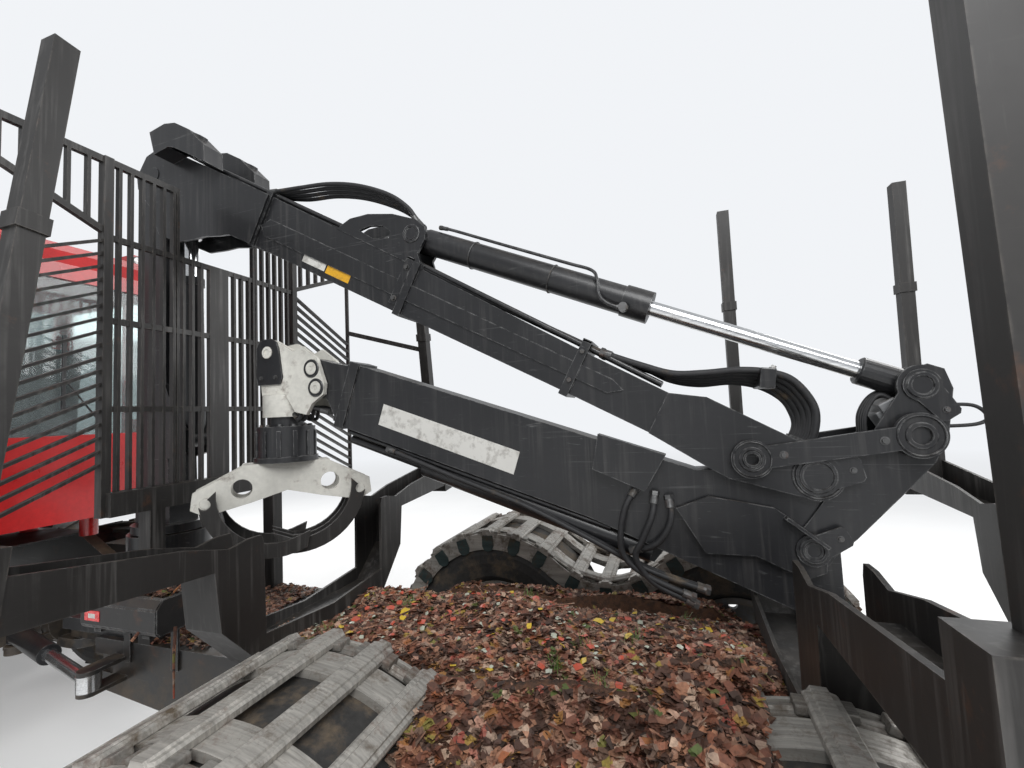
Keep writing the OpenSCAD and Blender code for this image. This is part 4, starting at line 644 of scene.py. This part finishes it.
def jib_hoses():
    """Hoses under the box beside the extension cylinder, and from the valve cover round to the underside."""
    under = -JIB_DROP - JIB_DEPTH
    paths = [path_at(jib_at, (1.9, under - 0.03, y), (1.5, under - 0.045 - k * 0.004, y),
                     (1.1, under - 0.055, y + 0.004), (0.8, under - 0.09, y), (0.5, under - 0.13, y),
                     (0.25, under - 0.125, y * 0.9)) for k, y in enumerate((0.07, 0.046))]
    hoses("jib_under_hoses", paths, 0.0125, "jib_arm")
    valve = (((0.64, -0.275, 0.1), (0.66, -0.36, 0.125), (0.65, -0.47, 0.128), (0.61, -0.57, 0.115),
              (0.5, -0.62, 0.1), (0.3, -0.64, 0.085)),
             ((0.56, -0.275, 0.1), (0.545, -0.36, 0.13), (0.555, -0.47, 0.132), (0.56, -0.56, 0.118),
              (0.46, -0.64, 0.095), (0.28, -0.665, 0.08)),
             ((0.5, -0.27, 0.1), (0.47, -0.34, 0.12), (0.475, -0.42, 0.122), (0.51, -0.49, 0.11),
              (0.58, -0.54, 0.085)))
    hoses("valve_hoses", [path_at(jib_at, *route) for route in valve], 0.0135, "jib_arm")


def labels():
    """Bare plates where the photo has labels, on the boom and on both sides of the jib."""
    box = ((1.39, -0.02), (1.39, -0.1), (1.565, -0.1), (1.565, -0.02))
    sign = ((1.575, -0.015), (1.575, -0.105), (1.75, -0.105), (1.75, -0.015))
    long = ((2.0, -0.28), (2.0, -0.395), (1.2, -0.405), (1.2, -0.29))
    boom_y, jib_y = BOOM_HALF + 0.0004, JIB_HALF + 0.0004
    for name, at, corners, y, mat, body in (
            ("boom_label_white", boom_at, box, boom_y, WHITE_LABEL, "boom"),
            ("boom_label_yellow", boom_at, sign, boom_y, YELLOW_LABEL, "boom"),
            ("jib_label_white", jib_at, long, jib_y, WHITE_LABEL, "jib_arm"),
            ("jib_label_far", jib_at, long, -jib_y, WHITE_LABEL, "jib_arm")):
        bm = bmesh.new()
        add_prism(bm, path_at(at, *corners), y, y + 0.0008)
        bmesh.ops.bevel(bm, geom=list(bm.edges), offset=0.0003, segments=1, affect="EDGES")
        piece(name, bm, mat, body)


def ring(bm, centre, y, q, r_out, r_in, t):
    """A flat washer standing proud of a plate, on the side that q gives."""
    steps = ((r_out, 0), (r_out, t * 0.6), (r_out - 0.003, t), (r_in + 0.002, t), (r_in, t * 0.6), (r_in, 0))
    rows = [[bm.verts.new(round_y(centre, r, a, y + q * h)) for a in angles(36)] for r, h in steps]
    for a, b in zip(rows, rows[1:] + rows[:1]):
        join_loops(bm, a, b)


LOCK_THICK = 0.008


def lock_plate(bm, bolts, pin, r, heading, y, q, reach):
    """A plate that keeps a pin from turning, its squarish nose at `heading` degrees, with a small bolt."""
    a = radians(heading)
    ahead, across = Vector((cos(a), 0, sin(a))), Vector((-sin(a), 0, cos(a)))
    turns = [radians(k) for k in range(50, 311, 20)]
    nose = r * 0.62
    corners = [(cos(w) * r, sin(w) * r) for w in turns]
    corners += [(reach - 0.012, -nose), (reach, 0.012 - nose), (reach, nose - 0.012), (reach - 0.012, nose)]
    add_prism(bm, [pin + ahead * f + across * g for f, g in corners], *sorted((y, y + q * LOCK_THICK)))
    at = pin + ahead * (reach - 0.035)
    add_bolt(bolts, (at.x, y + q * LOCK_THICK, at.z), (0, q, 0), 0.0095, 0.008)


def pin_details():
    """Rings, lock plates and bolts on the pins of the knee and the tip, on both sides of the crane."""
    # body, pin, face of the plate, ring radii in and out, heading and reach of the lock plate
    table = [("boom", KNEE, 0.111, 0.052, 0.066, 169, 0.155), ("boom", KNEE, 0.111, 0.082, 0.09, 0, 0),
             ("links", LINK_A, 0.136, 0.036, 0.05, 0, 0), ("links", LINK_A, 0.136, 0.066, 0.072, 0, 0),
             ("links", LINK_B, 0.136, 0.032, 0.05, 0, 0), ("links", LINK_B, 0.136, 0.07, 0.077, 0, 0),
             ("crank", CYL_EYE, 0.087, 0.034, 0.05, 236, 0.15), ("jib_arm", CRANK_PIN, 0.107, 0.034, 0.05, 152, 0.14),
             ("boom", CYL_FOOT, 0.093, 0.034, 0.05, 0, 0)]
    table += [("hanger", pin, 0.0947, 0.0265, 0.052, 0, 0) for pin in TIP_PINS]
    parts = {}
    for body, pin, y, r_in, r_out, heading, reach in table:
        bm, bolts = parts.setdefault(body, (bmesh.new(), bmesh.new()))
        for q in (1, -1):
            if reach:
                lock_plate(bm, bolts, pin, r_out + 0.012, heading, q * y, q, reach)
            ring(bm, pin, q * (y + (LOCK_THICK if reach else 0)), q, r_out, r_in, 0.006)
    d = (LINK_B - LINK_A).normalized() * 0.115
    for q in (1, -1):
        for at in (LINK_A + d, LINK_B - d):
            add_bolt(parts["links"][1], (at.x, q * 0.136, at.z), (0, q, 0), 0.012, 0.007)
    for body, (bm, bolts) in parts.items():
        outward(bm)
        piece(f"{body}_pin_rings", bm, BLACK, body)
        if len(bolts.verts):
            piece(f"{body}_pin_bolts", bolts, BOLT, body)
        else:
            bolts.free()
    # pale ends of the two pins at the tip
    bm = bmesh.new()
    for pin in TIP_PINS:
        for q in (1, -1):
            ring(bm, pin, q * 0.0985, q, 0.036, 0.011, 0.005)
            add_disc(bm, (pin.x, q * 0.0978, pin.z), (0, q, 0), 0.013, 0.003, 20)
    outward(bm)
    piece("tip_pin_ends", bm, PALE, "hanger")


def knee_rod_end():
    """Sleeve and eye shell of the knee cylinder's rod, and the hose block between the crank plates."""
    end = CYL_EYE
    d = (end - CYL_FOOT).normalized()
    bm = bmesh.new()
    add_tube(bm, [end - d * 0.19, end - d * 0.183, end - d * 0.06, end - d * 0.05],
             lambda t: 0.05 if t == 0 else 0.0565, 28)
    for q in (1, -1):
        ring(bm, end, q * 0.0575, q, 0.0675, 0.036, 0.004)
    join_loops(bm, *[[bm.verts.new(round_y(end, 0.0672, a, y)) for a in angles(40)] for y in (-0.0575, 0.0575)])
    outward(bm)
    piece("knee_rod_sleeve", bm, BLACK, "knee_piston")
    # swivel block with four ports, carried by the crank's cross tube
    bm, ends = bmesh.new(), bmesh.new()
    turn = Matrix.Translation(boom_at(BOOM_L + 0.135, 0.345)) @ Matrix.Rotation(radians(28), 4, "Y")
    add_box(bm, (-0.035, -0.062, -0.05), (0.03, 0.062, 0.045), 0.006, turn)
    add_box(bm, (0.02, -0.05, -0.1), (0.05, 0.05, 0.02), 0.004, turn)
    aim = turn.to_3x3() @ Vector((-1, 0, 0))
    for y in (-0.042, -0.014, 0.014, 0.042):
        for dz in (-0.026, 0.02):
            add_disc(ends, turn @ Vector((-0.035, y, dz)), aim, 0.0105, 0.02, 6)
    piece("crank_hose_block", bm, GREY, "crank")
    piece("crank_hose_ports", ends, BOLT, "crank")
    loops = []
    for k, y in enumerate((-0.035, -0.01, 0.015, 0.04)):
        loops.append(path_at(boom_at, (BOOM_L + 0.17, 0.37, y), (BOOM_L + 0.11, 0.42 - 0.01 * k, y),
                             (BOOM_L + 0.07, 0.38, y), (BOOM_L + 0.065, 0.3, y), (BOOM_L + 0.1, 0.22, y * 0.9),
                             (BOOM_L + 0.13, 0.15, y * 0.8)))
    hoses("crank_hoses", loops, 0.0075, "crank", ends=False)
    back = path_at(boom_at, (BOOM_L + 0.3, 0.36, 0.02), (BOOM_L + 0.4, 0.42, 0.022), (BOOM_L + 0.42, 0.46, 0.022),
                   (BOOM_L + 0.36, 0.48, 0.02), (BOOM_L + 0.24, 0.42, 0.02))
    hoses("crank_back_hose", [back], 0.007, "crank", ends=False)


def tip_details():
    """Black bracket of the rotator's crosshead, the rotator's ribs and its hoses."""
    bm, bolts, pale = bmesh.new(), bmesh.new(), bmesh.new()
    x, z, face, thick = ROTOR_X, CROSS_Z, 0.0952, 0.0118
    outline = [(-0.075, -0.15), (-0.06, -0.19), (0.1, -0.19), (0.112, -0.15), (0.11, 0.03), (0.095, 0.062),
               (0.06, 0.08), (0.0, 0.08), (-0.035, 0.06), (-0.05, 0.02)]
    for q in (1, -1):
        add_prism(bm, [(x + a, z + b) for a, b in outline], *sorted((q * face, q * (face + thick))))
        ring(pale, (x + 0.03, 0, z), q * 0.1072, q, 0.036, 0.018, 0.007)
        for a in (-0.03, 0.075):
            add_bolt(bolts, (x + a, q * (face + thick), z - 0.15), (0, q, 0), 0.011, 0.009)
    # ribs round the rotator's housing
    for a in angles(12):
        turn = Matrix.Translation((x, 0, ROTOR_Z)) @ Matrix.Rotation(a, 4, "Z")
        add_box(bm, (0.1585, -0.012, -0.078), (0.168, 0.012, 0.07), 0.003, turn)
        add_bolt(bolts, (x + cos(a) * 0.135, sin(a) * 0.135, ROTOR_Z + 0.095), (0, 0, 1), 0.011, 0.011)
    piece("crosshead_bracket", bm, BLACK, "hanger")
    piece("crosshead_pin_rings", pale, PALE, "hanger")
    piece("crosshead_bolts", bolts, BOLT, "hanger")
    paths = [[jib_at(2.36, -0.43, y), (x - 0.2, y * 1.3, 2.3), (x - 0.16, y * 1.4, 2.23), (x - 0.11, y, 2.26)]
             for y in (-0.05, -0.02, 0.02, 0.05)]
    hoses("rotator_hoses", paths, 0.0105, "hanger", steps=7)


# litter
HEAP_BACK, HEAP_FRONT, HEAP_HALF = -3.335, -0.82, 0.44


def height_at(x, y):
    """Height of the heap of bark over the rear deck."""
    a = 0.03 * sin(x * 3.1 + 1.3) + 0.022 * sin(x * 7.7 + y * 5) + 0.02 * cos(y * 9 + x * 2.3)
    side = 1 - min(abs(y) / HEAP_HALF, 1) ** 4
    ends = min(max((x + 3.34) / 0.12, 0), 1) * min(max((HEAP_FRONT - x) / 0.15, 0), 1)
    return DECK_Z + (0.075 + a) * side * ends


def flake(bm, at, length, width, turn, tilt, curl):
    """One bent flake of bark or leaf."""
    m = Matrix.Translation(at) @ turn @ Matrix.Rotation(tilt, 4, "X")
    pts = [(-0.5, -0.5, 0), (0, -0.6, curl), (0.5, -0.4, 0), (0.5, 0.4, 0), (0, 0.55, curl), (-0.5, 0.5, 0)]
    v = [bm.verts.new(m @ Vector((p[0] * length, p[1] * width, p[2] * width))) for p in pts]
    bm.faces.new((v[0], v[1], v[4], v[5]))
    bm.faces.new((v[1], v[2], v[3], v[4]))


def lying(lean):
    """A random turn about the vertical and a random lean."""
    return Matrix.Rotation(uniform(0, 6.28), 4, "Z") @ Matrix.Rotation(gauss(0, lean), 4, "Y")


def chip(bm, at, lean, lift, tilt):
    """A flake of bark, mostly a small one, lying loosely at a point."""
    big = random() ** 3
    turn = lying(lean)
    at = at + Vector((0, 0, uniform(0, lift)))
    tilt, curl = gauss(0, tilt), uniform(-0.3, 0.3)
    flake(bm, at, 0.012 + 0.055 * big, 0.006 + 0.02 * big, turn, tilt, curl)


def litter():
    """The bed of the heap, its chips and sticks, and flakes on the deck before the gate."""
    bm, nx, ny = bmesh.new(), 150, 54

    def bed(i, j):
        x, y = HEAP_BACK + (HEAP_FRONT - HEAP_BACK) * i / nx, HEAP_HALF * (2 * j / ny - 1)
        inside = 0 < i < nx and 0 < j < ny
        return x, y, height_at(x, y) + uniform(-0.006, 0.006) if inside else DECK_Z - 0.0015

    join_grid(bm, [[bm.verts.new(bed(i, j)) for j in range(ny + 1)] for i in range(nx + 1)])
    piece("litter_bed", bm, SOIL, "rear_half", True)

    bm = bmesh.new()
    for _ in range(26000):
        x, y = uniform(HEAP_BACK + 0.03, HEAP_FRONT - 0.03), uniform(-0.425, 0.425)
        chip(bm, Vector((x, y, height_at(x, y))), 0.28, 0.016, 0.35)
    piece("litter_chips", bm, CHIPS, "rear_half")

    bm = bmesh.new()
    spots = [(uniform(-0.62, -0.24), gauss(0, 0.28)) for _ in range(2600)]
    for x, y in spots:
        if abs(y) <= 0.43:
            turn = lying(0.3)
            at = Vector((x, y, DECK_Z + uniform(0.002, 0.02)))
            size = uniform(0.01, 0.05), uniform(0.006, 0.02)
            flake(bm, at, *size, turn, gauss(0, 0.3), 0.2)
    piece("litter_front_deck", bm, CHIPS, "rear_half")

    bm = bmesh.new()
    for _ in range(90):
        x, y = uniform(HEAP_BACK + 0.2, HEAP_FRONT - 0.2), uniform(-0.36, 0.36)
        a, half = uniform(0, 6.28), uniform(0.04, 0.16)
        d = Vector((cos(a), sin(a), uniform(-0.1, 0.15))) * half
        p = Vector((x, y, height_at(x, y) + 0.012))
        add_tube(bm, [p - d, p + Vector((0, 0, 0.004)), p + d], lambda t: 0.0045 - 0.002 * t, 6)
    piece("litter_sticks", bm, CHIPS, "rear_half")


def mound(name, x0, x1, q, body, base, crest, y0=0.462, y1=0.742):
    """Bark piled between a rail and its track; the inner edge is the higher one."""
    bm, nx, ny = bmesh.new(), 60, 14

    def top(i, j):
        x, f = x0 + (x1 - x0) * i / nx, j / ny
        ends = min(min(i, nx - i) / 5, 1)
        h = crest * (1 - 0.55 * f) * (0.3 + 0.7 * ends) + 0.018 * sin(x * 9 + f * 4) + uniform(-0.006, 0.006)
        return Vector((x, q * (y0 + (y1 - y0) * f), base + max(h, 0.02)))

    grid = [[top(i, j) for j in range(ny + 1)] for i in range(nx + 1)]
    verts = [[bm.verts.new(v) for v in row] for row in grid]
    join_grid(bm, verts)
    rim = [row[0] for row in verts] + verts[nx][1:] + [row[ny] for row in verts[-2::-1]] + verts[0][-2:0:-1]
    low = [bm.verts.new((v.co.x, v.co.y, base)) for v in rim]
    join_loops(bm, rim, low)
    bm.faces.new(low)
    outward(bm)
    piece(name, bm, SOIL, body, True)
    bm = bmesh.new()
    for _ in range(int(5200 * (x1 - x0))):
        i, j = randrange(nx), randrange(1, ny)
        a, b = random(), random()
        at = grid[i][j].lerp(grid[i + 1][j], a).lerp(grid[i][j + 1].lerp(grid[i + 1][j + 1], a), b)
        chip(bm, at, 0.35, 0.014, 0.4)
    piece(name + "_chips", bm, CHIPS, body)


def leaves_and_sprigs():
    """Single coloured leaves, pale lichen and green sprigs on the heap."""
    # colour, material, how many, size
    kinds = (("yellow", LEAF_YELLOW, 26, 0.03), ("red", LEAF_RED, 60, 0.026), ("pale", LEAF_PALE, 120, 0.016))
    for name, mat, count, size in kinds:
        bm = bmesh.new()
        for _ in range(count):
            x, y = uniform(-3.2, -1.0), uniform(-0.38, 0.4)
            turn = lying(0.25)
            k = uniform(0.6, 1.3) * size
            flake(bm, Vector((x, y, height_at(x, y) + 0.022)), k * 1.3, k, turn, gauss(0, 0.25), 0.15)
        piece(f"leaves_{name}", bm, mat, "rear_half")
    bm = bmesh.new()
    tufts = ((-2.5, 0.1), (-2.72, -0.02), (-2.42, 0.3), (-2.95, -0.35), (-2.15, -0.3), (-3.1, 0.3), (-1.2, 0.2),
             (-1.5, -0.1), (-2.62, 0.33))
    for cx, cy in tufts:
        for _ in range(46):
            a, lean = uniform(0, 6.28), uniform(0.2, 1.2)
            x, y = cx + gauss(0, 0.025), cy + gauss(0, 0.025)
            root = Vector((x, y, height_at(x, y)))
            d = Vector((cos(a) * sin(lean), sin(a) * sin(lean), cos(lean)))
            tip = root + d * uniform(0.03, 0.075)
            side = Vector((-sin(a), cos(a), 0)) * 0.0016
            blade = (root - side, root + side, tip + side * 0.3, tip - side * 0.3)
            bm.faces.new([bm.verts.new(v) for v in blade])
    piece("green_sprigs", bm, SPRIG, "rear_half")


def side_box():
    """Covered box under the gate on the left, with its reflector, and litter on its lid."""
    bm = bmesh.new()
    outline = [(0.47, 1.215), (0.6, 1.215), (0.62, 1.235), (0.62, 1.345), (0.585, 1.39), (0.47, 1.39)]
    join_ends(bm, *[[bm.verts.new((x, y, z)) for y, z in outline] for x in (-0.565, -0.02)])
    bmesh.ops.bevel(bm, geom=list(bm.edges), offset=0.006, segments=2, affect="EDGES")
    for x in (-0.47, -0.12):
        add_box(bm, (x - 0.025, RAIL_FACE, 0.98), (x + 0.025, RAIL_FACE + 0.012, 1.36), 0.002)
        add_box(bm, (x - 0.025, RAIL_FACE, 1.2), (x + 0.025, 0.6, 1.2145), 0.002)
    piece("side_box", bm, BLACK_LOW, "rear_half")
    red, white = ((-0.17, 0.6195, 1.262), (-0.06, 0.6235, 1.312)), ((-0.14, 0.623, 1.276), (-0.09, 0.6245, 1.298))
    for name, mat, (lo, hi), bevel in (("red", REDLENS, red, 0.001), ("white", WHITE_LABEL, white, 0.0005)):
        bm = bmesh.new()
        add_box(bm, lo, hi, bevel)
        piece(f"side_reflector_{name}", bm, mat, "rear_half")
    bm = bmesh.new()
    for _ in range(700):
        at = Vector((uniform(-0.56, -0.1), uniform(0.475, 0.575), 1.393 + uniform(0, 0.014)))
        turn = lying(0.3)
        size = uniform(0.01, 0.04), uniform(0.005, 0.014)
        flake(bm, at, *size, turn, gauss(0, 0.3), 0.2)
    for a, b in (((-0.42, 0.63, 1.2), (-0.62, 0.5, 1.47)), ((-0.6, 0.55, 1.25), (-0.66, 0.6, 0.95)),
                 ((-0.3, 0.5, 1.41), (-0.5, 0.56, 1.4))):
        a, b = Vector(a), Vector(b)
        add_tube(bm, [a, a.lerp(b, 0.5) + Vector((0.006, 0, 0.008)), b], lambda t: 0.008 - 0.004 * t, 6)
    piece("side_box_litter", bm, CHIPS, "rear_half")


# tracks, cab, hood, wheels
BOGIE_X, AXLE_Z, BAND_R, SAG = -2.495, 0.718, 0.688, radians(40)


def track_places():
    """Place and outward heading of each shoe's foot, in the side view, in order round the loop."""
    h, r = WHEEL_STEP, BAND_R
    # where the sagging upper run leaves the wheels, and how low its middle hangs
    x0, z0 = h - r * sin(SAG), r * cos(SAG)
    mid = z0 - tan(SAG) * x0 / 2
    places = [(-h + (n + 0.5) * 2 * h / 7, -r, -90) for n in range(7)]
    turns = [(n + 0.5) * 220 / 13 - 90 for n in range(13)]
    arc = [(h + r * cos(radians(a)), r * sin(radians(a)), a) for a in turns]
    places += arc
    for x in (0.185, 0.0, -0.185):
        tilt = degrees(atan(2 * (z0 - mid) * x / (x0 * x0)))
        places.append((x, mid + (z0 - mid) * x * x / (x0 * x0), 90 + tilt))
    return places + [(-x, z, 180 - a) for x, z, a in reversed(arc)]


def shoe_frame(place, y):
    """Axes of a shoe: X along the travel, Y across, Z outward."""
    x, z, deg = place
    c, s = cos(radians(deg)), sin(radians(deg))
    return Matrix(((s, 0, c, BOGIE_X + x), (0, 1, 0, y), (-c, 0, s, AXLE_Z + z), (0, 0, 0, 1)))


def add_pad(bm, m):
    """Flat pad of a shoe with blunt ends and a rib."""
    outline = []
    for e in (1, -1):
        for w in (radians(t) for t in (-60, -25, 25, 60)):
            outline.append((e * 0.043 * sin(w) / sin(radians(60)), e * (0.322 + 0.03 * cos(w))))
    rows = [[bm.verts.new(m @ Vector((x * f, y * g, z))) for x, y in outline]
            for f, g, z in ((1, 1, 0.0005), (1, 1, 0.017), (0.84, 0.985, 0.024))]
    for lower, upper in zip(rows, rows[1:]):
        join_loops(bm, lower, upper)
    bm.faces.new(rows[-1])
    bm.faces.new(rows[0][::-1])
    add_box(bm, (-0.009, -0.31, 0.0235), (0.009, 0.31, 0.0295), 0.002, m)


def track_parts():
    """Flat pads of the shoes, and the link chain and guide tongues along both edges."""
    places = track_places()
    chain, hole = 0.3, 0.062
    tongue = [(-0.036, -0.012), (-0.04, -0.08), (-0.026, -0.108), (0, -0.116), (0.026, -0.108), (0.04, -0.08),
              (0.036, -0.012)]
    for side, s in (("left", TO_LEFT), ("right", TO_RIGHT)):
        pads, links, tongues = bmesh.new(), bmesh.new(), bmesh.new()
        frames = [shoe_frame(place, s * TRACK_HALF) for place in places]
        for m, after in zip(frames, frames[1:] + frames[:1]):
            add_pad(pads, m)
            for e in (1, -1):
                ends = [[tongues.verts.new(m @ Vector((x, e * 0.343 + t, z))) for x, z in tongue]
                        for t in (-0.005, 0.005)]
                join_loops(tongues, *ends)
                for end in ends:
                    tongues.faces.new(end)
                # lugs on both sides of the shoe and the chain to the next shoe
                for x0, x1 in ((-0.072, -0.038), (0.038, 0.072)):
                    add_box(links, (x0, e * chain - 0.03, -0.012), (x1, e * chain + 0.03, 0.014), 0.005, m)
                p, r = m @ Vector((hole, e * chain, 0.001)), after @ Vector((-hole, e * chain, 0.001))
                for w in (-0.016, 0.016):
                    add_tube(links, [p + Vector((0, w, 0)), r + Vector((0, w, 0))], 0.0085, 8)
                add_tube(links, [p.lerp(r, 0.22), p.lerp(r, 0.78)], 0.0175)
        for bm in (pads, links, tongues):
            outward(bm)
        body = f"bogie_rear_{side}"
        piece(f"track_pads_{side}", pads, TRACK, body)
        piece(f"track_links_{side}", links, CHAIN, body)
        piece(f"track_tongues_{side}", tongues, TONGUE, body)


def cab_parts():
    """Lamps, roof ribs, grab rails and rear wiper of the cab."""
    xb, h, top = CAB_BACK, CAB_HALF, CAB_TOP
    lenses, rims = bmesh.new(), bmesh.new()
    for q in (1, -1):
        for x, d in ((xb + 0.06, -1), (CAB_FRONT - 0.27, 1)):
            for dy in (-0.045, 0.045):
                at = Vector((x, q * (h - 0.2) + dy, top + 0.035))
                add_disc(lenses, at, (d, 0, 0), 0.034, 0.006, 20, 0.03)
                add_disc(rims, at - Vector((d * 0.002, 0, 0)), (d, 0, 0), 0.04, 0.005, 20)
    piece("roof_lamp_lenses", lenses, LAMP, "front_half", True)
    piece("roof_lamp_rims", rims, BLACK, "front_half")
    bm = bmesh.new()
    for y in (-0.5, -0.3, -0.1, 0.1, 0.3, 0.5):
        add_box(bm, (xb + 0.22, y - 0.015, top - 0.001), (CAB_FRONT - 0.62, y + 0.015, top + 0.012), 0.004)
    piece("roof_ribs", bm, RED, "front_half")
    # grab rails beside the door and on the right side
    bm, x = bmesh.new(), CAB_FRONT - 0.17
    for q in (1, -1):
        y = q * (h + 0.045)
        rail = [(x, q * h, 2.0), (x, y, 2.03), (x, y, 2.5), (x, y, 2.95), (x, q * h, 2.98)]
        add_tube(bm, smooth_path(rail), 0.012)
    piece("grab_rails", bm, BLACK, "front_half", True)
    # wiper of the rear window
    bm = bmesh.new()
    add_tube(bm, [Vector((xb - 0.012, -0.25, 2.28)), Vector((xb - 0.02, 0.0, 2.62))], 0.007, 8)
    add_box(bm, (xb - 0.022, -0.012, 2.36), (xb - 0.004, 0.012, 2.95), 0.003)
    add_disc(bm, (xb + 0.002, -0.25, 2.28), (-1, 0, 0), 0.025, 0.02, 16)
    piece("rear_wiper", bm, BLACK, "front_half")


def hood_parts():
    """Head lamp lenses, the dark sleeve of the exhaust and the latches of the hood."""
    lenses, dark = bmesh.new(), bmesh.new()
    for q in (1, -1):
        at = Vector((NOSE_X - 0.1815, q * 0.43, 1.96))
        add_disc(lenses, at, (1, 0, 0), 0.062, 0.012, 32, 0.056)
        add_disc(dark, at - Vector((0.002, 0, 0)), (1, 0, 0), 0.0735, 0.006, 32)
    foot = Vector((3.5, -0.42, HOOD_TOP - 0.04))
    # the sleeve and its two bands: from, to, radius
    for z0, z1, r in ((0, 0.585, 0.0645), (0.06, 0.09, 0.069), (0.5, 0.53, 0.069)):
        add_tube(dark, [foot + Vector((0, 0, z0)), foot + Vector((0, 0, z1))], r, 32)
    for q in (1, -1):
        y = q * (HOOD_HALF + 0.0005)
        for x in (3.3, 4.35):
            add_box(dark, (x - 0.03, y - 0.004, 1.5), (x + 0.03, y + 0.004, 1.58), 0.002)
    piece("head_lamp_lenses", lenses, LAMP, "hood", True)
    piece("hood_dark_parts", dark, BLACK, "hood")


def gate_bolts():
    """Two rows of bolts in the gate's base beam."""
    bm = bmesh.new()
    for y in (-0.6, -0.42, -0.24, 0.24, 0.42, 0.6):
        for z in (1.82, 1.88):
            add_bolt(bm, (-0.232, y, z), (-1, 0, 0), 0.013, 0.012)
    piece("gate_bolts", bm, BOLT, "rear_half")


def wheel_nuts():
    """Wheel nuts on the outside of the free front wheels."""
    for side, q in (("left", TO_LEFT), ("right", TO_RIGHT)):
        for n, e in ((1, 1), (2, -1)):
            bm = bmesh.new()
            hub = (FRONT_BOGIE_X + e * WHEEL_STEP, 0, FRONT_AXLE_Z)
            for a in angles(12):
                add_bolt(bm, round_y(hub, 0.17, a, q * (TRACK_HALF + 0.004)), (0, q, 0), 0.014, 0.02)
            piece(f"wheel_nuts_{side}_{n}", bm, BOLT, f"wheel_{side}_{n}")


boom_hoses()
knee_loop()
boom_straps()
bracket_loop()
knee_cylinder_pipe()
jib_hoses()
labels()
pin_details()
knee_rod_end()
tip_details()
litter()
leaves_and_sprigs()
mound("near_litter", -3.24, -2.05, 1, "bogie_rear_left", 0.96, 0.13)
mound("far_litter", -3.24, -1.45, -1, "bogie_rear_right", 0.96, 0.2)
mound("sag_litter", -2.9, -2.09, 1, "bogie_rear_left", 1.12, 0.22, 0.745, 1.15)
mound("wheel_litter", -3.13, -2.84, 1, "bogie_rear_left", 1.3, 0.19, 0.745, 1.2)
side_box()
track_parts()
cab_parts()
hood_parts()
gate_bolts()
wheel_nuts()
